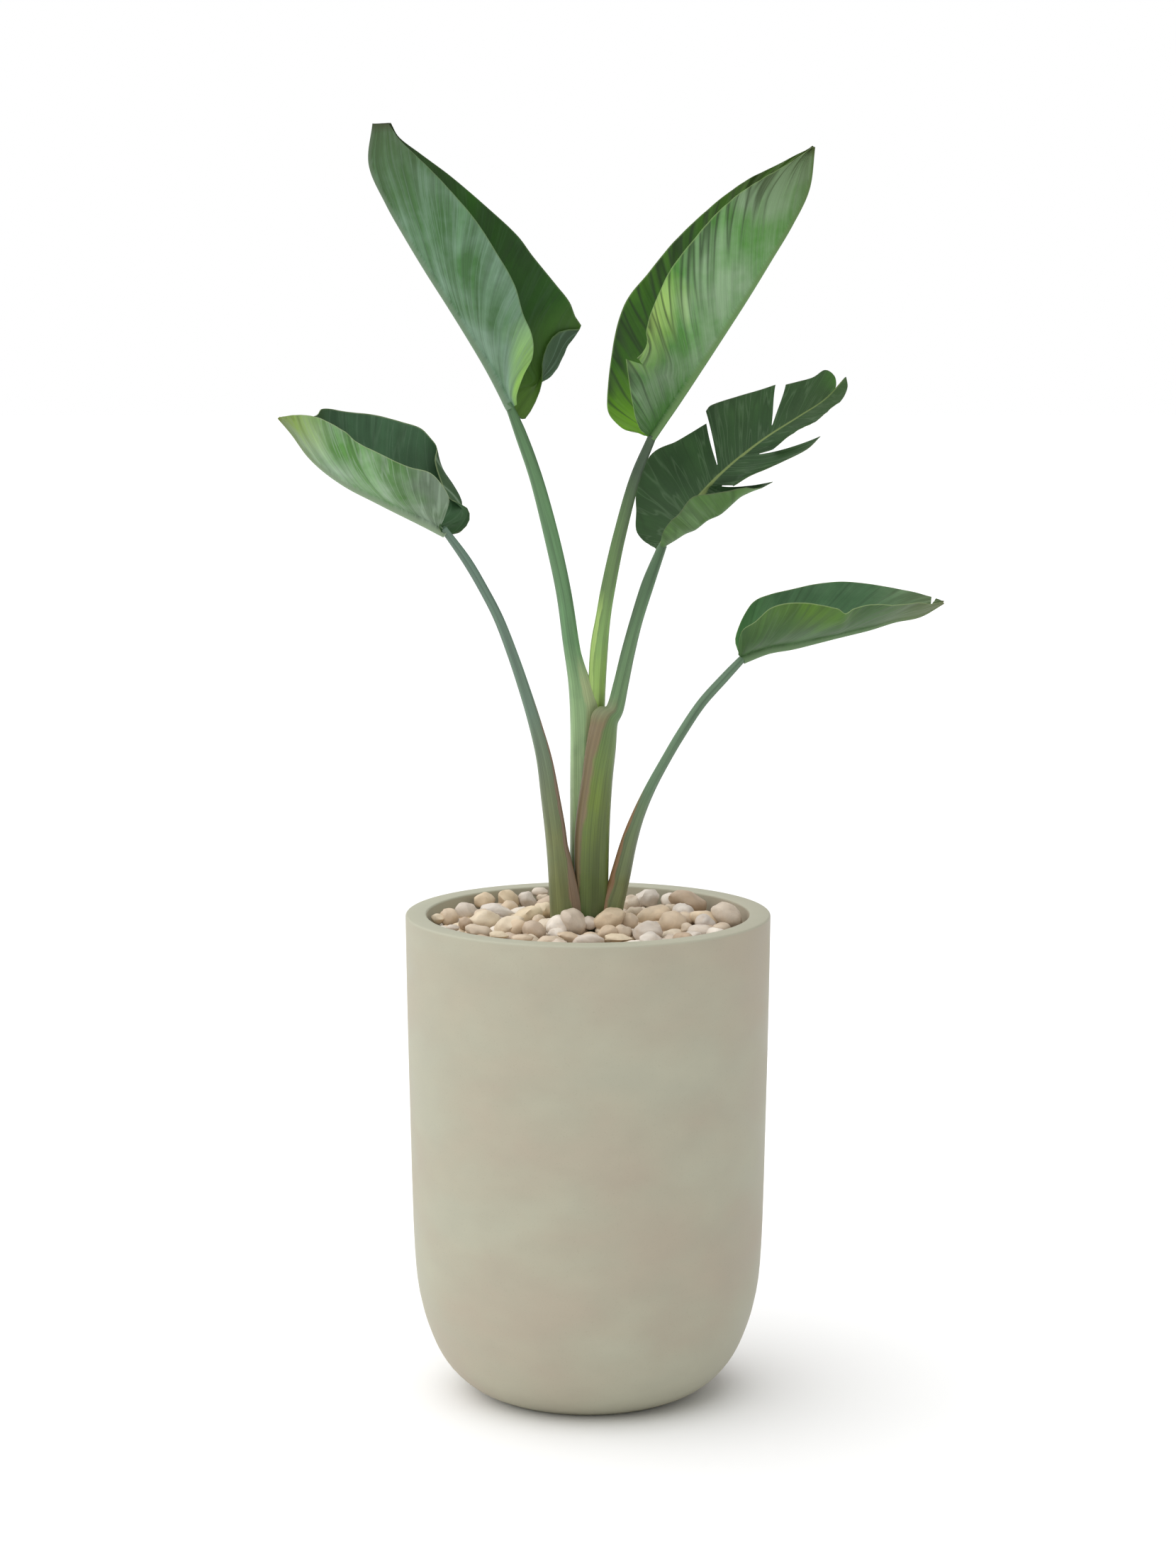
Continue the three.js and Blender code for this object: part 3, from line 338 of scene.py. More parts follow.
STALKS["tall_right"] = {
    "facing": (180, 185),
    "path": [
        (13, 19, FOOT, 9, 9, 0.1), (13, 19, 680, 9, 9, 0.1), (13, 19, 780, 9.5, 9.5, 0.1),
        (12, 19, 880, 10, 10.5, 0.1), (12, 18, 960, 11, 11.5, 0.1), (15, 16, 1027, 11, 12, 0.05),
        (21, 10, 1075, 9.6, 10, 0), (28.5, 3, 1120, 9.1, 9.5, 0), (42.3, -5, 1185, 8.6, 8.4, 0),
        (62.8, -12, 1262, 7.2, 7.2, 0), (86.8, -18, 1322, 6.4, 5.4, 0),
    ],
    "colours": ("a9bf4a", "abc95e", "769a52", "344a30"),
    "lips": (("9cbb66", 0.2, 0.2, 1100), ("9cbb66", 0.2, 0.2, 1100)),
}
STALKS["mid_right"] = {
    "facing": (120, 190),
    "path": [
        (7, -8, FOOT, 21, 18, 0.85), (7.5, -8, 690, 23, 18, 0.85), (9, -10, 780, 25, 18, 0.8),
        (15, -9, 850, 23.5, 16, 0.7), (22, -6, 900, 21.3, 15, 0.55), (27.5, -3.5, 933, 16, 13.3, 0.3),
        (37.8, 0.5, 951, 10.3, 11.2, 0.08), (45.8, 5, 985, 9.6, 9.8, 0), (54.5, 10, 1025, 9.2, 9.2, 0),
        (66, 17, 1070, 8.6, 8.6, 0), (82, 28, 1120, 8.8, 8.8, 0), (102, 46, 1170, 7.6, 6, 0),
    ],
    "colours": ("465234", "64782a", "638256", "4f6d4c"),
    "lips": (("6f8450", 0.2, 0.2, 900), ("78694c", 0.28, 0.6, 955)),
    "flaps": [(1, [(860, 0, 0), (925, 5, 3), (937, 7, 5), (949, 0, 0)])],
}
STALKS["low_left"] = {
    "facing": (8, 20),
    "path": [
        (-38, -4, FOOT, 20, 14, 0.9), (-38, -4, 665, 20, 14, 0.9), (-41, -7, 730, 19, 13.8, 0.88),
        (-45, -10, 780, 17.5, 13.6, 0.8), (-52, -15, 832, 14.5, 12.2, 0.62),
        (-60, -22, 885, 11.6, 10.2, 0.38), (-71, -29, 930, 9, 8.6, 0.15), (-84, -36, 975, 7.6, 7.6, 0.02),
        (-101, -46, 1028, 6.9, 6.9, 0), (-120, -59, 1080, 6.4, 6.4, 0), (-141, -71, 1123, 6.1, 6.1, 0),
        (-163, -83, 1162, 6, 6, 0), (-192, -97, 1204, 5.5, 4.5, 0),
    ],
    "colours": ("696d44", "6f7748", "627a66", "587261"),
    "lips": (("7e6a54", 0.27, 0.1, 960), ("806850", 0.2, 0.1, 900)),
    "flaps": [(-1, [(FOOT - 1, 5, 16), (672, 5, 15), (722, 3, 7), (768, 0, 0)])],
}
STALKS["low_right"] = {
    "facing": (172, 165),
    "path": [
        (30, -2, FOOT, 20, 18, 0.9), (30, -2, 665, 20, 17.5, 0.9), (40.5, 1, 703, 16.2, 14, 0.87),
        (46.5, 2, 726, 16, 12.7, 0.85), (57, 6, 767, 14, 10.4, 0.72), (69.5, 12, 803, 10.6, 8.2, 0.5),
        (86, 20, 839, 8, 6.8, 0.22), (106, 29, 875, 6.6, 6.2, 0.03), (128, 39, 911, 6.4, 6.2, 0),
        (156, 53, 951, 6, 6, 0), (188, 67, 985, 5.8, 5.8, 0), (217, 81, 1014, 5, 4.5, 0),
    ],
    "colours": ("6c7442", "707848", "5f7b5c", "587459"),
    "lips": (("806446", 0.25, 0.1, 830), ("8c6c4a", 0.36, 0.16, 830)),
}


def even_stops(points):
    """Points spaced evenly in t, as stops for along."""
    return [(i / (len(points) - 1), *point) for i, point in enumerate(points)]


def stalk_ring(stalk, t):
    """Centre, directions and sizes of the stalk's section at t."""
    stops = even_stops(stalk["path"])
    x, y, z, across, deep, hollow = along(stops, t)
    ahead, behind = along(stops, min(t + AXIS_STEP, 1)), along(stops, max(t - AXIS_STEP, 0))
    axis = unit(ahead[:3] - behind[:3])
    start, end = stalk["facing"]
    turn = radians(start + (end - start) * t)
    opening = np.array([cos(turn), sin(turn), 0])
    opening = unit(opening - axis * opening.dot(axis))
    return np.array([x, y, z]), np.cross(axis, opening), opening, across, deep, hollow


def section_point(ring, s, inner, flaps):
    """A point of the section: s runs from lip to lip, round the back or along the inside."""
    centre, side, opening, across, deep, hollow = ring
    wall = WALL_SHARE * min(across, deep)
    angle = s * LIP_ANGLE
    lift = (1 - cos(angle)) / (1 - cos(LIP_ANGLE))
    back = np.array([across * sin(angle), deep * (2 * lift - 1)])
    groove = (across - wall) * sin(LIP_ANGLE) * s, deep - GROOVE_SHARE * deep * (1 - s * s)
    channel = (across - wall) * sin(angle), wall - deep + (2 * deep - wall) * lift
    front = np.array(groove) * (1 - hollow) + np.array(channel) * hollow
    past = max(0, (abs(s) - 1 + LIP_ROUND) / LIP_ROUND)
    share = sqrt(max(0, 1 - past * past)) / 2
    w, o = (back + front) / 2 + ((front - back) if inner else (back - front)) * share
    for sign, stops in flaps:
        if stops[0][0] < centre[2] < stops[-1][0]:
            grow = along(stops, centre[2]) * max(0, s * sign) ** FLAP_BEND
            w, o = w + sign * grow[0], o + grow[1]
    return centre + side * w + opening * o


def stalk_mesh(stalk):
    """A grid rolled up into the stalk: one row a ring, and one column a line up it."""
    bm = bmesh.new()
    bmesh.ops.create_grid(bm, x_segments=STALK_ROWS, y_segments=STALK_SIDES, size=1)
    side_layer = bm.verts.layers.float.new("lip_side")
    share_layer = bm.verts.layers.float.new("share")
    rings = [stalk_ring(stalk, row / STALK_ROWS) for row in range(STALK_ROWS + 1)]
    for vert in bm.verts:
        row = round((vert.co.x + 1) / 2 * STALK_ROWS)
        turn = (vert.co.y + 1) * pi
        s = -cos(turn)
        inner = turn > pi
        vert.co = Vector(section_point(rings[row], s, inner, stalk.get("flaps", []))) * MM
        vert[side_layer] = s
        vert[share_layer] = row / STALK_ROWS
    bmesh.ops.remove_doubles(bm, verts=bm.verts, dist=MERGE_DISTANCE)
    rims = [edge for edge in bm.edges if edge.is_boundary]
    bmesh.ops.holes_fill(bm, edges=rims, sides=0)
    bmesh.ops.recalc_face_normals(bm, faces=bm.faces)
    return bm


def attribute(tree, name):
    return node(tree, "Attribute", attribute_name=name).outputs["Fac"]


def stalk_skin(name, stalk):
    """Green skin with fine lines up the stalk, changing from foot to top and at the lips, and painted light
    and shade in strips along it.
    """
    material, tree = new_material(name)
    where = places(tree)
    height = effect("SeparateXYZ", {0: where}).outputs["Z"]
    side = attribute(tree, "lip_side")
    share = attribute(tree, "share")
    foot, low, middle, top = stalk["colours"]
    bent = plus(share, times(clouds(where, 12), 0.12))
    green = ramp(bent, (0.08, foot), (0.3, low), (0.6, middle), (0.98, top))
    lines = effect("CombineXYZ", {0: times(side, 26), 1: height}).outputs[0]
    streaks = clouds(lines, 1.6, detail=5, roughness=0.65)
    # Broad lighter and darker strips up the stalk: painted light and shade along its sides
    wide = effect("Mapping", {"Vector": lines, "Scale": (0.1, 4, 1)}).outputs[0]
    bands = clouds(wide, 1.3, detail=2)
    green = scaled(green, span(bands, 0.36, 0.64, 0.76, 1.2))
    blotch = span(clouds(where, 26, detail=4), 0.52, 0.72, 0, 0.2)
    green = blend(blotch, green, shade("4f6a48"))
    for sign, (code, at_foot, at_end, end) in zip((-1, 1), stalk["lips"]):
        ragged = minus(times(clouds(where, 30, detail=3), 0.3), 0.15)
        toward = plus(times(side, sign), ragged)
        reach = span(height, FOOT * MM, end * MM, at_foot, at_end)
        inwards = maths("DIVIDE", minus(1, toward), reach)
        near = span(inwards, 0.78, 1, 1, 0)
        below = span(height, (end - LIP_FADE[0]) * MM, (end + LIP_FADE[1]) * MM, 1, 0)
        green = blend(times(near, below), green, shade(code))
    # Contrast of the fine lines: partly the stalk's own lines, partly painted lengthwise shade
    green = scaled(green, span(streaks, 0.3, 0.7, 0.7, 1.3))
    roughness = span(streaks, 0.3, 0.7, 0.36, 0.5)
    finish_material(tree, green, roughness, streaks, 0.35 * MM, Coat_Weight=0.12)
    return material


for name, stalk in STALKS.items():
    skin = stalk_skin(f"stalk {name}", stalk)
    put_in_frame(stalk_mesh(stalk), f"leaf_stalk_{name}", skin, "stalk", f"stalk_{name}")

# ---------------------------------------------------------------- blades
# Each stalk ends in a leathery paddle, two halves folded up along a thick midrib, with fine
# side veins and a pale underside. The middle right one is torn along its veins.

BLADE_THICKNESS = 0.9
BLADE_ROWS = 130
BLADE_COLUMNS = 50
RIB_COLUMNS = 6
RIB_HALF_WIDTH = 4.5
RIB_SHARES = (0.04, 0.5)
RIB_DEPTH = (11, 2.5, 0.8)
RIB_ROUND = radians(125)
RIB_STEP = 0.02
TEAR_REACH = 0.05
VEIN_TURN = 3
# Pleats and ripples to the metre of rib, and how they grow towards the edge
PLEATS = 55
PLEAT_DRIFT = 0.9
PLEAT_GROWTH = 1.3
RIPPLES = 16
RIPPLE_DRAW = 3
RIPPLE_HEIGHT = 1.2
RIPPLE_GROWTH = 4

# The rib runs from the stalk to the tip: x, y, z. Each half is one or more lobes, torn apart along
# the side veins. A lobe's edge is a list of (share of the rib, x, y, z), and the share says which
# side vein ends there. A half's roll is a list of (share of the rib, bow towards the underside,
# reach of the bow past the edge, and its lean towards the stalk). Its tears, one between each lobe
# and the next, are the share of the half's width where one ends, and how far it opens.
BLADES = {}
BLADES["tall_left"] = {
    "rib": [
        (-101, 22, 1359), (-128, 22, 1409), (-155, 20, 1453), (-184, 18, 1498), (-213, 14, 1542),
        (-241, 10, 1587), (-267, 5, 1632), (-289, 0, 1682), (-284, -6, 1735),
    ],
    "left": [[
        (0, -96, 14, 1363), (0.03, -95, 0, 1378), (0.06, -86, -16, 1403), (0.1, -74, -28, 1427),
        (0.16, -74, -40, 1455), (0.23, -86, -46, 1485), (0.32, -97, -50, 1523), (0.44, -122, -52, 1567),
        (0.56, -150, -50, 1610), (0.7, -192, -44, 1658), (0.84, -228, -34, 1693), (0.93, -250, -22, 1714),
        (1, -264, -12, 1734),
    ]],
    "left roll": [(0, 0.25, 0, 0), (0.1, 0.24, 0, 0), (0.5, 0.14, 0, 0), (1, 0.04, 0, 0)],
    "right": [[
        (0, -93, 30, 1347), (0.015, -85, 36, 1343), (0.03, -72, 42, 1364), (0.045, -63, 46, 1391),
        (0.065, -62, 52, 1421), (0.08, -53, 56, 1446), (0.095, -36, 60, 1461), (0.11, -10, 64, 1464),
        (0.13, -17, 64, 1479), (0.17, -25, 64, 1499), (0.24, -43, 62, 1522), (0.34, -74, 58, 1560),
        (0.44, -96, 54, 1589), (0.56, -136, 48, 1626), (0.68, -183, 38, 1666), (0.8, -225, 26, 1697),
        (0.92, -252, 10, 1718), (1, -262, -2, 1736),
    ]],
    "right roll": [
        (0, 0.3, 0.2, 0), (0.035, 0.3, 0.2, 0.15), (0.06, 0.35, 0.4, 0.55), (0.08, 0.35, 0.5, 0.85),
        (0.095, 0.35, 0.4, 0.7), (0.11, 0.3, 0.1, 0.25), (0.15, 0.2, 0, 0), (0.3, 0.16, 0, 0),
        (1, 0.04, 0, 0),
    ],
}
BLADES["tall_right"] = {
    "rib": [
        (81, -18, 1322), (114, -22, 1368), (147, -26, 1416), (178, -30, 1462), (209, -36, 1509),
        (239, -42, 1557), (267, -50, 1603), (289, -58, 1649), (296, -68, 1703),
    ],
    "left": [[
        (0, 80, -9, 1321), (0.02, 67, 0, 1325), (0.05, 48, 12, 1330), (0.09, 29, 22, 1348),
        (0.14, 26, 26, 1372), (0.2, 30, 28, 1415), (0.28, 38, 28, 1463), (0.36, 52, 26, 1502),
        (0.46, 79, 22, 1536), (0.57, 116, 14, 1581), (0.69, 164, 2, 1626), (0.8, 208, -14, 1659),
        (0.9, 249, -34, 1680), (1, 296, -62, 1704),
    ]],
    "left roll": [(0, 0.3, 0, 0), (0.15, 0.2, 0, 0), (0.5, 0.14, 0, 0), (1, 0.04, 0, 0)],
    "right": [[
        (0, 78, -27, 1325), (0.04, 70, -42, 1331), (0.08, 63, -54, 1349), (0.14, 56, -64, 1385),
        (0.19, 50, -70, 1426),
    ], [
        (0.19, 65, -75, 1427), (0.2, 73, -76, 1435), (0.212, 78, -78, 1446), (0.25, 77, -80, 1464),
        (0.33, 87, -84, 1497), (0.42, 108, -87, 1542), (0.52, 139, -90, 1583), (0.63, 170, -91, 1618),
        (0.75, 207, -90, 1648), (0.86, 247, -86, 1672), (0.94, 275, -80, 1689), (1, 293, -71, 1702),
    ]],
    "right tears": [(0.8, 0)],
    "right roll": [(0, 0.25, 0, 0), (0.15, 0.2, 0, 0), (0.5, 0.14, 0, 0), (1, 0.04, 0, 0)],
}
BLADES["mid_right"] = {
    "rib": [
        (94, 48, 1164), (118, 52, 1201), (147, 56, 1232), (177, 60, 1263), (211, 64, 1292), (248, 67, 1319),
        (286, 70, 1343), (322, 72, 1367), (350, 70, 1397),
    ],
    "left": [[
        (0, 89, 54, 1168), (0.03, 76, 60, 1175), (0.06, 66, 66, 1189), (0.1, 66, 72, 1214),
        (0.15, 67, 78, 1245), (0.2, 85, 84, 1290), (0.28, 122, 86, 1310), (0.385, 162, 86, 1334),
    ], [
        (0.385, 161, 80, 1351), (0.41, 168, 80, 1359), (0.48, 204, 80, 1371), (0.56, 235, 80, 1380),
        (0.625, 256, 80, 1387),
    ], [
        (0.625, 270, 82, 1387), (0.66, 286, 82, 1391), (0.71, 307, 80, 1397), (0.76, 323, 78, 1407),
        (0.82, 336, 74, 1399), (0.87, 338, 72, 1385), (0.9, 333, 72, 1374),
    ]],
    "left tears": [(0.12, 2), (0.14, 2)],
    "left roll": [(0, 0.1, 0, 0), (0.5, 0.08, 0, 0), (1, 0.03, 0, 0)],
    "right": [[
        (0, 98, 40, 1168), (0.05, 101, 14, 1189), (0.1, 110, 4, 1204), (0.16, 123, -4, 1217),
        (0.22, 141, -4, 1239), (0.27, 166, 4, 1243), (0.29, 190, 14, 1246), (0.305, 212, 24, 1250),
        (0.32, 233, 34, 1248), (0.33, 251, 40, 1257),
    ], [
        (0.33, 197, 30, 1252), (0.37, 223, 26, 1267), (0.42, 260, 26, 1284), (0.46, 297, 34, 1301),
        (0.49, 316, 44, 1318),
    ], [
        (0.49, 255, 46, 1303), (0.58, 284, 46, 1326), (0.68, 309, 50, 1339), (0.78, 328, 54, 1354),
        (0.88, 345, 58, 1367), (0.95, 353, 62, 1384), (1, 351, 66, 1398),
    ]],
    "right tears": [(0.15, 4), (0.25, 4)],
    "right roll": [
        (0, 0.7, 0, 0), (0.1, 0.95, 0, 0), (0.2, 1.1, 0, 0), (0.27, 1.3, 0, 0), (0.3, 1.15, 0, 0),
        (0.32, 0.6, 0, 0), (0.33, 0.2, 0, 0), (0.4, 0.15, 0, 0), (1, 0.05, 0, 0),
    ],
}
BLADES["low_left"] = {
    "rib": [
        (-187, -95, 1201), (-221, -104, 1218), (-252, -113, 1233), (-282, -122, 1248), (-313, -132, 1264),
        (-342, -142, 1284), (-364, -152, 1305), (-383, -164, 1332), (-401, -176, 1354),
    ],
    "left": [[
        (0, -195, -103, 1200), (0.02, -197, -112, 1208), (0.04, -187, -128, 1226),
        (0.065, -182, -140, 1246), (0.09, -191, -150, 1265), (0.13, -206, -158, 1281),
        (0.2, -235, -168, 1290), (0.3, -268, -176, 1306), (0.4, -300, -180, 1322), (0.48, -316, -182, 1336),
        (0.6, -345, -182, 1352), (0.72, -366, -182, 1357), (0.86, -384, -182, 1357), (1, -400, -180, 1355),
    ]],
    "left roll": [(0, 0.3, 0, 0), (0.1, 0.3, 0, 0), (0.3, 0.18, 0, 0), (1, 0.05, 0, 0)],
    "right": [[
        (0, -186, -86, 1195), (0.015, -169, -72, 1198), (0.03, -158, -64, 1212), (0.045, -160, -66, 1228),
        (0.06, -174, -74, 1237), (0.08, -186, -80, 1245), (0.1, -195, -80, 1265), (0.13, -203, -72, 1292),
        (0.155, -201, -64, 1308), (0.185, -210, -60, 1322), (0.22, -222, -56, 1334), (0.3, -245, -56, 1342),
        (0.42, -282, -66, 1352), (0.54, -318, -82, 1357), (0.64, -349, -100, 1362),
        (0.72, -357, -120, 1354), (0.85, -379, -150, 1350), (1, -401, -172, 1353),
    ]],
    "right roll": [
        (0, 0.3, 0.1, 0), (0.03, 0.3, 0.15, 0.1), (0.045, 0.3, 0.25, 0.35), (0.06, 0.35, 0.45, 0.95),
        (0.09, 0.35, 0.5, 1.4), (0.12, 0.35, 0.35, 1.15), (0.15, 0.3, 0.1, 0.5), (0.19, 0.25, 0.05, 0.1),
        (0.35, 0.18, 0, 0), (1, 0.05, 0, 0),
    ],
}
BLADES["low_right"] = {
    "rib": [
        (212, 80, 1014), (248, 90, 1025), (283, 100, 1029), (320, 109, 1036), (356, 118, 1043),
        (392, 127, 1050), (427, 136, 1059), (463, 144, 1065), (496, 152, 1082),
    ],
    "left": [[
        (0, 210, 88, 1014), (0.015, 204, 96, 1030), (0.03, 205, 104, 1042), (0.05, 214, 114, 1064),
        (0.09, 229, 122, 1085), (0.15, 251, 126, 1095), (0.24, 281, 130, 1102), (0.35, 316, 136, 1109),
        (0.46, 351, 142, 1112), (0.58, 386, 148, 1109), (0.7, 421, 154, 1103), (0.82, 454, 158, 1096),
        (0.92, 480, 158, 1089),
    ], [
        (0.92, 486, 157, 1087), (1, 497, 155, 1083),
    ]],
    "left tears": [(0.2, 0)],
    "left roll": [(0, 0.3, 0, 0), (0.1, 0.3, 0, 0), (0.3, 0.2, 0, 0), (1, 0.05, 0, 0)],
    "right": [[
        (0, 207, 72, 1017), (0.02, 207, 58, 1034), (0.05, 211, 46, 1053), (0.09, 228, 38, 1066),
        (0.14, 248, 32, 1085), (0.2, 272, 32, 1092), (0.3, 306, 38, 1091), (0.4, 341, 48, 1083),
        (0.45, 353, 56, 1075), (0.5, 365, 60, 1082), (0.58, 391, 70, 1087), (0.68, 424, 84, 1085),
        (0.78, 450, 100, 1086), (0.9, 477, 126, 1082), (1, 495, 148, 1082),
    ]],
    "right roll": [(0, 0.3, 0, 0), (0.1, 0.3, 0, 0), (0.3, 0.2, 0, 0), (1, 0.05, 0, 0)],
}

# The blades' looks, a column for each: tall left, tall right, mid right, low left, low right.
# The glow's middle and half width are shares of the rib, and its start a share of the width. Its
# face is 0 below and 1 above, and its half -1 left and 1 right. Foot darkens the underside by the
# stalk. Side veins lean towards the tip by a share of the rib, from bent, 0, to straight, 1.
LEAF_COLOURS = {
    # Under colours per half: a half turned from the light gets a darker one, painted shade, most of all the
    # tall left blade's right half in its fold's shadow
    "left under": ("3f6a38", "467a34", "5c8440", "558640", "345725"),
    "right under": ("24401a", "4e8638", "4c7034", "3c6434", "345725"),
    "bloom": ("7f9c88", "92a88c", "7a9472", "96ac94", "5c7855"),
    "upper": ("2c5e12", "487818", "395a30", "446848", "6c8f6a"),
    "shade": ("1d430d", "2f5c12", "2b4827", "325133", "48704a"),
    "base": ("55762c", "6fa508", "2a4722", "24481a", "4d8244"),
    "glow": ("84b04a", "a8cc62", "3f7c1c", "7c9e40", "52781f"),
    "rib": ("71896e", "64854f", "86985a", "879b7e", "66825a"),
    "margin": ("5f7a48", "7f9e5c", "55623f", "93a377", "8a9f66"),
    "tip": ("3c482c", "40501a", "3a5426", "6f7d38", "69704a"),
}
LEAF_NUMBERS = {
    "glow middle": (0.05, 0.3, 0.86, 0.85, 0.3),
    "glow width": (0.18, 0.13, 0.1, 0.3, 0.24),
    "glow start": (0.45, 0.5, 0.45, 0.2, 0.4),
    "glow face": (0, 0, 1, 0, 0),
    "glow half": (-1, 1, -1, -1, 1),
    "left bloom": (0.65, 0.4, 0.3, 0.85, 0.3),
    "right bloom": (0.15, 0.62, 0.3, 0.4, 0.3),
    "bloom lean": (-0.35, 0.12, 0, 0.1, 0.1),
    "foot": (0, 0.45, 0.1, 0.5, 0),
    "lines below": (0.3, 0.15, 0.2, 0.45, 0.2),
    "lines above": (0.05, 0.05, 0.22, 0.08, 0.3),
    "crease shade": (0.12, 0.8, 0.3, 0.25, 0.35),
    "pattern": (0, 1, 2, 3, 4),
}
CREASE_SHADE = "22341a"
LEAF_LAYERS = ("share", "across", "rib", "vein", "half", "upper")
VEIN_LEAN = (0.34, 0.24, 0, 0.16, 0.25)
VEIN_STRAIGHT = (0.42, 1, 1, 0.35, 0.6)
PLEAT_HEIGHT = (0.8, 2.2, 0.8, 1.2, 1.2)


def blade_rows(blade):
    """Shares of the rib for even rows, with a row at every end of a lobe."""
    lobes = blade["left"] + blade["right"]
    marks = sorted({0, 1, *(lobe[0][0] for lobe in lobes), *(lobe[-1][0] for lobe in lobes)})
    rows = []
    for start, end in zip(marks, marks[1:]):
        steps = max(1, round((end - start) * BLADE_ROWS))
        rows += [start + (end - start) * n / steps for n in range(steps)]
    return [*rows, 1]


def edge_point(blade, side, lobe, t, v):
    """Where the side vein from share t ends. The edges of a tear close towards the rib."""
    edge = along(blade[side][lobe], t)
    for n, (share, gap) in enumerate(blade.get(side + " tears", [])):
        if n not in (lobe, lobe - 1):
            continue
        before, after = (np.array(blade[side][n + step]) for step in (0, 1))
        middle = (before[-1] + after[0]) / 2
        own, inwards = (before[-1], before[-2]) if n == lobe else (after[0], after[1])
        near = exp(-((t - own[0]) / TEAR_REACH) ** 2)
        s = min(max((v - share) / (1 - share), 0), 1)
        edge = edge + (middle - own)[1:] * near * (1 - s * s * (3 - 2 * s))
        if v > share:
            bulge = gap * sin(pi * (v - share) / (1 - share)) / v
            edge = edge + unit((inwards - own)[1:]) * near * bulge
    return edge


def rib_axis(blade, t):
    rib = even_stops(blade["rib"])
    return unit(along(rib, min(t + RIB_STEP, 1)) - along(rib, max(t - RIB_STEP, 0)))


def blade_point(blade, side, lobe, t, v):
    """The blade's point on the side vein from share t, at v from rib to edge, and its underside."""
    root = along(even_stops(blade["rib"]), t)
    axis = rib_axis(blade, t)
    edge = edge_point(blade, side, lobe, t, v)
    reach_out = edge - root
    under = unit(np.cross(axis, reach_out)) * (1 if side == "right" else -1)
    bow, reach, lean = along(blade[side + " roll"], t)
    bulge = under * bow - axis * lean
    control = root + reach_out * (0.5 + reach) + bulge * np.linalg.norm(reach_out)
    return root * (1 - v) ** 2 + control * 2 * v * (1 - v) + edge * v * v, under


def rib_share(blade, side, lobe, t):
    """The share of the half's width that the rib takes."""
    width = np.linalg.norm(along(blade[side][lobe], t) - along(even_stops(blade["rib"]), t))
    return min(max(RIB_HALF_WIDTH / width, RIB_SHARES[0]), RIB_SHARES[1])


def grid_place(co, rows):
    """The row and column of a place in a flat grid. Columns run from the rib, left below 0."""
    return round((co.x + 1) / 2 * (len(rows) - 1)), round(co.y * (RIB_COLUMNS + BLADE_COLUMNS))


def torn_grid(blade, rows):
    """A flat grid, split along the tears and cut off where a half's last lobe ends."""
    bm = bmesh.new()
    columns = 2 * (RIB_COLUMNS + BLADE_COLUMNS)
    bmesh.ops.create_grid(bm, x_segments=len(rows) - 1, y_segments=columns, size=1)
    torn = []
    for edge in bm.edges:
        (row, first), (other_row, second) = (grid_place(vert.co, rows) for vert in edge.verts)
        side = "left" if first + second < 0 else "right"
        for lobe, (share, _) in zip(blade[side], blade.get(side + " tears", [])):
            outside = min(abs(first), abs(second)) >= RIB_COLUMNS + round(share * BLADE_COLUMNS)
            if row == other_row and rows[row] == lobe[-1][0] and outside:
                torn.append(edge)
    bmesh.ops.split_edges(bm, edges=torn)
    past_end = []
    for face in bm.faces:
        middle = face.calc_center_median()
        lobes = blade["left" if middle.y < 0 else "right"]
        if rows[int((middle.x + 1) / 2 * (len(rows) - 1))] >= lobes[-1][-1][0]:
            past_end.append(face)
    bmesh.ops.delete(bm, geom=past_end, context="FACES")
    return bm


def fold(bm, blade, rows, leaf):
    """Bends the grid into the blade's shape, and keeps what its skin reads at each vertex."""
    layers = {name: bm.verts.layers.float.new(name) for name in LEAF_LAYERS}
    row_layer, column_layer = (bm.verts.layers.int.new(name) for name in ("row", "column"))
    length = sum(np.linalg.norm(np.subtract(*pair)) for pair in zip(blade["rib"], blade["rib"][1:]))
    spots = {}
    for vert in bm.verts:
        row, column = grid_place(vert.co, rows)
        vert[row_layer], vert[column_layer] = row, column
        t = rows[row]
        side = "left" if column < 0 else "right"
        beyond = vert.link_faces[0].calc_center_median().x > vert.co.x
        lobe = sum(t > one[-1][0] or (t == one[-1][0] and beyond) for one in blade[side][:-1])
        first = rib_share(blade, side, lobe, t)
        step = abs(column) / RIB_COLUMNS
        share = (abs(column) - RIB_COLUMNS) / BLADE_COLUMNS
        v = first * step if step < 1 else first + (1 - first) * share
        spots[vert] = blade_point(blade, side, lobe, t, v)
        turning = 1 - (1 - v) ** VEIN_TURN
        sweep = VEIN_STRAIGHT[leaf] * v + (1 - VEIN_STRAIGHT[leaf]) * turning
        vert[layers["share"]] = t
        vert[layers["across"]] = v
        vert[layers["half"]] = -1 if side == "left" else 1
        vert[layers["rib"]] = 1 - min(step, 1)
        vert[layers["vein"]] = (t - VEIN_LEAN[leaf] * (0.5 + t) * sweep) * length * MM
    for vert, (point, _) in spots.items():
        vert.co = Vector(point) * MM
    bm.normal_update()
    facing = sum(vert.normal.dot(Vector(under)) for vert, (_, under) in spots.items())
    if facing > 0:
        bmesh.ops.reverse_faces(bm, faces=bm.faces)
        bm.normal_update()
    up_layer = bm.verts.layers.float_vector.new("up")
    for vert in bm.verts:
        vein, v = vert[layers["vein"]], vert[layers["across"]]
        crest = abs(noise.noise(Vector((vein * PLEATS, v * PLEAT_DRIFT, length)))) * 2 - 0.5
        ripple = noise.noise(Vector((vein * RIPPLES, RIPPLE_DRAW, length)))
        vert[up_layer] = vert.normal
        pleat = crest * PLEAT_HEIGHT[leaf] * v ** PLEAT_GROWTH
        vert.co += vert.normal * (pleat + ripple * RIPPLE_HEIGHT * v ** RIPPLE_GROWTH) * MM


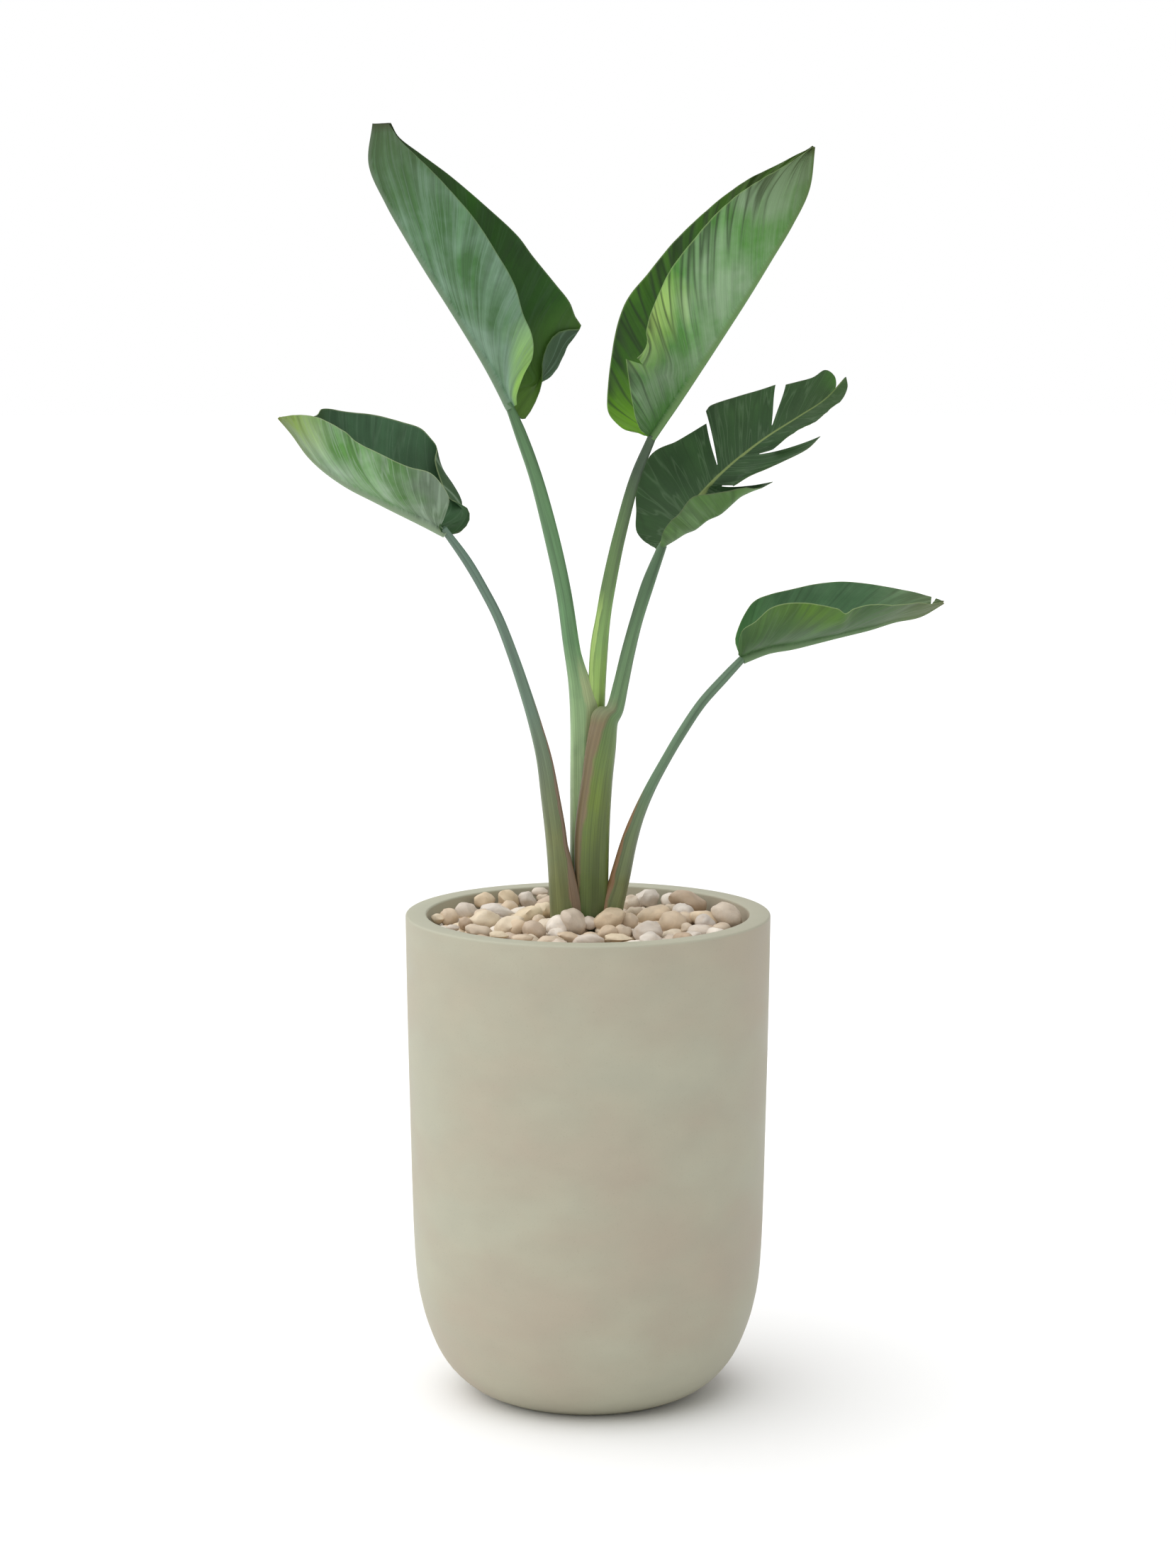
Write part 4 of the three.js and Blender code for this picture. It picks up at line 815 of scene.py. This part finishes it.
def thicken(bm, blade, rows):
    """Gives the folded sheet its thickness, and the rib its round ridge on the underside."""
    share_layer, upper_layer = (bm.verts.layers.float[name] for name in ("share", "upper"))
    row_layer, column_layer = (bm.verts.layers.int[name] for name in ("row", "column"))
    up_layer = bm.verts.layers.float_vector["up"]
    thick, thin, taper = RIB_DEPTH
    middles = {}
    for vert in bm.verts:
        row = vert[row_layer]
        if vert[column_layer] == 0:
            ridge = (thick + (thin - thick) * vert[share_layer] ** taper) / 2 * MM
            side = Vector(rib_axis(blade, rows[row])).cross(vert.normal)
            middles[row] = vert.co - vert.normal * ridge, -vert.normal, side, ridge
    made = bmesh.ops.extrude_face_region(bm, geom=bm.faces[:], use_keep_orig=True)
    raised = {item for item in made["geom"] if isinstance(item, bmesh.types.BMVert)}
    for vert in bm.verts:
        up = vert[up_layer].copy()
        row, column = vert[row_layer], vert[column_layer]
        vert[upper_layer] = 1 if vert in raised else 0
        if vert in raised or abs(column) >= RIB_COLUMNS:
            vert.co += up * BLADE_THICKNESS / 2 * (1 if vert in raised else -1) * MM
        else:
            middle, down, side, radius = middles[row]
            angle = column / RIB_COLUMNS * RIB_ROUND
            vert.co = middle + (down * cos(angle) + side * sin(angle)) * radius
    bmesh.ops.recalc_face_normals(bm, faces=bm.faces)


def blade_mesh(blade, leaf):
    rows = blade_rows(blade)
    bm = torn_grid(blade, rows)
    fold(bm, blade, rows, leaf)
    thicken(bm, blade, rows)
    return bm


def leaf_surface():
    """The node group of a leaf's skin: two faces, veins, bloom, rib, margin, base and tip."""
    group = bpy.data.node_groups.new("leaf surface", "ShaderNodeTree")
    sockets = [(name, "INPUT", "Color") for name in LEAF_COLOURS]
    sockets += [(name, "INPUT", "Float") for name in LEAF_NUMBERS]
    sockets += [("Colour", "OUTPUT", "Color")]
    sockets += [(name, "OUTPUT", "Float") for name in ("Roughness", "Height")]
    for name, way, kind in sockets:
        group.interface.new_socket(name, in_out=way, socket_type="NodeSocket" + kind)
    given = group.nodes.new("NodeGroupInput").outputs
    share, across, rib, vein, half, upper = (attribute(group, name) for name in LEAF_LAYERS)

    def stripes(scale, stretch, detail, offset=0):
        """Noise drawn out along the side veins."""
        sideways = times(across, stretch / scale)
        pattern = plus(given["pattern"], offset)
        along_veins = effect("CombineXYZ", {0: vein, 1: sideways, 2: pattern}).outputs[0]
        return clouds(along_veins, scale, detail=detail, roughness=0.6)

    def thin_lines(pattern, half_width):
        """Lines where a pattern passes through its middle value."""
        return span(maths("ABSOLUTE", minus(pattern, 0.5)), 0, half_width, 1, 0)

    broad = stripes(34, 0.5, 1.5)
    middle = stripes(100, 0.7, 1.5, offset=0.2)
    hair = stripes(520, 1.6, 2, offset=0.3)
    patch = clouds(places(group), 11, detail=4, roughness=0.55)

    # The two faces: bloom below, and darker patches above
    leaning = times(minus(share, 0.5), given["bloom lean"])
    bloom = span(plus(plus(patch, times(broad, 0.4)), leaning), 0.58, 0.84)
    bloom = times(bloom, span(half, -1, 1, given["left bloom"], given["right bloom"]))
    # Each half's underside colour; the darker one is painted shade
    under = blend(span(half, -1, 1), given["left under"], given["right under"])
    under = blend(bloom, under, given["bloom"])
    foot = times(span(share, 0.06, 0.36, 1, 0), given["foot"])
    under = scaled(under, minus(1, foot))
    deep = span(patch, 0.36, 0.64, 0.8, 0)
    colour = blend(upper, under, blend(deep, given["upper"], given["shade"]))

    # The glow where light shines through, and the upper side's base
    off_face = maths("ABSOLUTE", minus(upper, given["glow face"]))
    away = maths("ABSOLUTE", minus(share, given["glow middle"]))
    spread = minus(1, maths("DIVIDE.", away, given["glow width"]))
    ragged = times(minus(broad, 0.5), 0.8)
    outwards = minus(plus(across, ragged), given["glow start"])
    glow = times(span(outwards, 0, 0.45), maths("POWER", spread, 0.7))
    glow = times(glow, maths("SUBTRACT.", 1, off_face))
    other_half = maths("ABSOLUTE", minus(half, given["glow half"]))
    glow = times(glow, maths("SUBTRACT.", 1, other_half))
    colour = blend(times(glow, 0.85), colour, given["glow"])
    at_base = times(span(share, 0.02, 0.2, 1, 0), upper)
    colour = blend(times(at_base, 0.8), colour, given["base"])

    # Stripes, pale lines and painted shade in the creases along the side veins
    tone = span(broad, 0.3, 0.7, -0.16, 0.16)
    tone = plus(tone, span(middle, 0.3, 0.7, -0.16, 0.16))
    tone = plus(tone, span(hair, 0.3, 0.7, -0.14, 0.14))
    tone = times(tone, span(upper, 0, 1, 1, 0.6))
    colour = scaled(colour, plus(tone, 1))
    strength = span(upper, 0, 1, given["lines below"], given["lines above"])
    colour = blend(times(thin_lines(middle, 0.035), strength), colour, given["bloom"])
    crease_shade = times(thin_lines(broad, 0.045), span(across, 0.25, 0.8))
    # Dark lines in the creases: painted shade of the pleats
    colour = blend(times(crease_shade, given["crease shade"]), colour, shade(CREASE_SHADE))

    # The rib, the margin and the tip
    rib_below = times(span(rib, 0.02, 0.16), minus(1, upper))
    rib_above = times(span(rib, 0.4, 0.7), upper)
    rib_line = times(plus(rib_below, rib_above), 0.9)
    colour = blend(rib_line, colour, given["rib"])
    colour = blend(span(across, 0.984, 0.996, 0, 0.6), colour, given["margin"])
    colour = blend(times(span(share, 0.6, 0.95), 0.6), colour, given["tip"])
    uneven = plus(share, times(hair, 0.03))
    colour = blend(span(uneven, 0.98, 1.01), colour, given["tip"])
    roughness = span(middle, 0.3, 0.7, 0.42, 0.58)
    height = plus(times(hair, 0.5), times(middle, 1.6))
    results = group.nodes.new("NodeGroupOutput").inputs
    for value, result in zip((colour, roughness, height), results):
        group.links.new(value, result)
    return group


LEAF_SURFACE = leaf_surface()


def leaf_skin(name, leaf):
    material, tree = new_material(name)
    looks = {look: shade(codes[leaf]) for look, codes in LEAF_COLOURS.items()}
    looks.update({look: values[leaf] for look, values in LEAF_NUMBERS.items()})
    surface = node(tree, "Group", looks, node_tree=LEAF_SURFACE)
    finish_material(tree, *surface.outputs, 0.3 * MM, Specular_IOR_Level=0.3)
    return material


for leaf, (name, blade) in enumerate(BLADES.items()):
    skin = leaf_skin(f"leaf {name}", leaf)
    put_in_frame(blade_mesh(blade, leaf), f"leaf_blade_{name}", skin, "leaf", f"blade_{name}")

# ---------------------------------------------------------------- pebbles
# Smooth river stones, cream, tan and grey, lie over the soil up to the rim, and are heaped a
# little round the stalks. A lower layer fills the gaps between the stones on top.

# Stones on top, in front of the stalks and beside them: middle x and y, its lift over the plain
# bed, half width and half height as seen from the front, slant in degrees, and tone
SEEN_PEBBLES = [
    (-207, 24, 0, 10, 8, 0, 0.1), (-192, 32, 0, 14, 14, 45, 0.45), (-170, 81, 0, 18, 13, -10, 0.6),
    (-146, 138, 5, 16, 13, 10, 0.3), (-114, 164, 0, 19, 16, -40, 0.25), (-86, 172, 0, 15, 13, -20, 0.65),
    (-69, 192, 8, 13, 7, 0, 0.6), (-64, 181, 0, 10, 8, 0, 0.5), (-126, 81, 0, 26, 11, -12, 0.68),
    (-84, 48, 0, 24, 13, 15, 0.2), (-61, 89, 0, 13, 18, 70, 0.15), (-144, 0, 0, 26, 16, 12, 0.12),
    (-148, -70, 0, 20, 10, -10, 0.5), (-168, -15, 0, 10, 10, 0, 0.95), (-108, -39, 0, 24, 17, 30, 0.1),
    (-95, -48, 0, 15, 15, 0, 0.36), (-73, -70, 0, 18, 14, -30, 0.92), (-68, 8, 0, 10, 9, 20, 0.45),
    (-40, -42, 0, 18, 19, 70, 0.82), (-20, -43, 8, 22, 17, -50, 0.55), (1, -38, 5, 10, 13, 80, 0.6),
    (-26, -116, 0, 17, 8, -15, 0.4), (-88, -122, 0, 16, 6, 0, 0.45), (-120, -103, 0, 15, 7, 0, 0.15),
    (2, -122, 0, 15, 9, 0, 0.4), (29, -39, 11, 24, 16, 25, 0.3), (55, -21, 4, 15, 13, 0, 0.45),
    (26, -88, 0, 15, 12, 15, 0.4), (48, -78, 0, 13, 11, -20, 0.5), (40, -123, 0, 21, 7, 0, 0.15),
    (84, 177, 0, 19, 16, 20, 0.7), (61, 142, 0, 13, 13, 0, 0.55), (66, 65, 0, 13, 11, 0, 0.5),
    (89, 40, 0, 27, 15, 22, 0.35), (81, -79, 0, 22, 16, 10, 0.62), (116, -23, 0, 20, 22, 65, 0.42),
    (140, 125, 6, 30, 15, -18, 0.95), (140, 122, 0, 14, 12, 30, 0.66), (116, 106, 0, 10, 7, 0, 0.5),
    (160, 24, 0, 24, 12, -6, 0.3), (191, 27, 3, 25, 18, -35, 0.55), (152, -73, 0, 21, 10, 0, 0.6),
    (134, 24, 0, 10, 13, 80, 0.45), (-184, -47, 0, 10, 5, 0, 0.6), (134, -54, 0, 9, 10, 80, 0.5),
]
SEEN_HEIGHT = 657
PEBBLES = 64
FILLERS = 170
PEBBLE_SEED = 2404
PEBBLE_HALF_LENGTH = (14, 23)
PEBBLE_WIDTH_SHARE = (0.7, 0.95)
PEBBLE_HEIGHT_SHARE = (0.62, 0.9)
PEBBLE_LIFT = (-6, 3)
PEBBLE_TILT = (-0.5, 0.5)
PEBBLE_LUMPS = 0.2
PEBBLE_LUMP_SIZE = 0.9
PEBBLE_FINENESS = 3
PEBBLE_ROOM = 0.8
GOLDEN_ANGLE = pi * (3 - sqrt(5))
BED_GAP = 1.5
BED_RADIUS = POT_RADIUS - POT_WALL - BED_GAP
BED_TOP = 655
BED_HEAP = 8
FILLER_DROP = 15
FILLER_TURN = 1
DRAW_FACTOR = 16807
DRAW_LIMIT = 2147483647


def seeded_draws(seed):
    """The same random draws from 0 to 1 every time."""
    state = seed
    while True:
        state = state * DRAW_FACTOR % DRAW_LIMIT
        yield state / DRAW_LIMIT


def add_pebble(bm, tone_layer, sizes, turns, place, tone):
    """One stone: a sphere made a little lumpy, then stretched, turned and put in its place."""
    made = bmesh.ops.create_icosphere(bm, subdivisions=PEBBLE_FINENESS, radius=1)
    stretch = Matrix.Diagonal((*sizes, 1))
    turned = Matrix.Translation(place) @ Euler(turns).to_matrix().to_4x4() @ stretch
    seed = Vector((tone * 37, tone * 91, 5))
    for vert in made["verts"]:
        lump = 1 - PEBBLE_LUMPS * abs(noise.noise(vert.co * PEBBLE_LUMP_SIZE + seed)) * 2
        vert.co = turned @ (vert.co * lump) * MM
        vert[tone_layer] = tone


def pebble_bed():
    """The seen stones, a layer on top in a spiral, and a lower one that fills its gaps."""
    bm = bmesh.new()
    tone_layer = bm.verts.layers.float.new("tone")
    draws = seeded_draws(PEBBLE_SEED)
    tones = random.Random(PEBBLE_SEED)

    def between(limits):
        return limits[0] + (limits[1] - limits[0]) * next(draws)

    for x, y, lift, across, high, slant, tone in SEEN_PEBBLES:
        sizes = across, (across + high) / 2, high
        place = x, y, SEEN_HEIGHT + lift
        add_pebble(bm, tone_layer, sizes, (0, -radians(slant), 0), place, tone)
    for count, turn, drop in ((PEBBLES, 0, 0), (FILLERS, FILLER_TURN, FILLER_DROP)):
        for order in range(count):
            reach = sqrt((order + 0.5) / count)
            angle = order * GOLDEN_ANGLE + turn
            length = between(PEBBLE_HALF_LENGTH)
            width = length * between(PEBBLE_WIDTH_SHARE)
            height = width * between(PEBBLE_HEIGHT_SHARE)
            lift = between(PEBBLE_LIFT) - drop
            ring = min(reach * BED_RADIUS, BED_RADIUS - length)
            x, y = ring * cos(angle), ring * sin(angle)
            turns = between(PEBBLE_TILT), 0, between((0, pi))
            tone = tones.random()
            taken = any(
                hypot(x - stone[0], y - stone[1]) < PEBBLE_ROOM * (length + stone[3])
                for stone in SEEN_PEBBLES
            )
            if drop or not taken:
                place = x, y, BED_TOP + BED_HEAP * (1 - reach) + lift
                add_pebble(bm, tone_layer, (length, width, height), turns, place, tone)
    return bm


def river_stone():
    """Each stone takes its own colour, with faint bands and a fine grain over it."""
    material, tree = new_material("river stone")
    where = places(tree)
    tone = attribute(tree, "tone")
    body = ramp(
        tone, (0, "d9cbb6"), (0.2, "d6c4a6"), (0.38, "ceb89c"), (0.5, "cab9a3"),
        (0.66, "cfc5ba"), (0.82, "e2d8cb"), (0.94, "b8a28a"),
    )
    bands = clouds(where, 38, detail=5, roughness=0.6, distortion=1.2)
    body = scaled(body, span(bands, 0.3, 0.7, 0.85, 1.12))
    stain = span(clouds(where, 75, detail=3), 0.56, 0.7, 0, 0.3)
    body = blend(stain, body, shade("b39a7c"))
    grain = clouds(where, 700, detail=3)
    finish_material(tree, body, span(bands, 0.3, 0.7, 0.45, 0.65), grain, 0.2 * MM)
    return material


put_in_frame(pebble_bed(), "river_pebbles", river_stone(), "pebble", "pebbles")

# ---------------------------------------------------------------- floor, light and camera
# A white studio floor that fades into a white backdrop, soft light from the upper left, and
# the camera at chest height, tipped a little down.

FLOOR_HALF = 30
CAMERA_PLACE = (0, -5, 1.57183)
CAMERA_DOWN = radians(8.239395)
CAMERA_LENS = 85.02
CAMERA_SENSOR = 36
KEY_DIRECTION = (62, 84)
KEY_STRENGTH = 2.55
KEY_SPREAD = radians(105)
SKY_LIGHT = 0.55

floor_mesh = bmesh.new()
bmesh.ops.create_grid(floor_mesh, x_segments=1, y_segments=1, size=FLOOR_HALF)
floor_look, tree = new_material("studio floor")
paper = ramp(clouds(places(tree), 2), (0.3, "fafafa"), (0.7, "fbfbfb"))
finish_material(tree, paper, span(paper, 0, 1, 0.7, 0.8), 0, 0.1 * MM)
floor = mesh_object(floor_mesh, "studio_floor", floor_look)

world = bpy.data.worlds.new("studio")
bpy.context.scene.world = world
world.use_nodes = True
sky = world.node_tree.nodes["Background"]
seen = node(world.node_tree, "LightPath").outputs["Is Camera Ray"]
sky.inputs["Color"].default_value = (1, 1, 1, 1)
strength = span(seen, 0, 1, SKY_LIGHT, 1)
world.node_tree.links.new(strength, sky.inputs["Strength"])

key_data = bpy.data.lights.new("key", "SUN")
key_data.energy = KEY_STRENGTH
key_data.angle = KEY_SPREAD
key = bpy.data.objects.new("key", key_data)
elevation, left = map(radians, KEY_DIRECTION)
flat = cos(elevation)
towards = Vector((-sin(left) * flat, -cos(left) * flat, sin(elevation)))
key.rotation_euler = towards.to_track_quat("Z", "Y").to_euler()
bpy.context.collection.objects.link(key)

camera_data = bpy.data.cameras.new("camera")
camera_data.lens = CAMERA_LENS
camera_data.sensor_width = CAMERA_SENSOR
camera = bpy.data.objects.new("camera", camera_data)
camera.location = CAMERA_PLACE
camera.rotation_euler = (pi / 2 - CAMERA_DOWN, 0, 0)
bpy.context.collection.objects.link(camera)
bpy.context.scene.camera = camera
bpy.context.scene.view_settings.view_transform = "Standard"
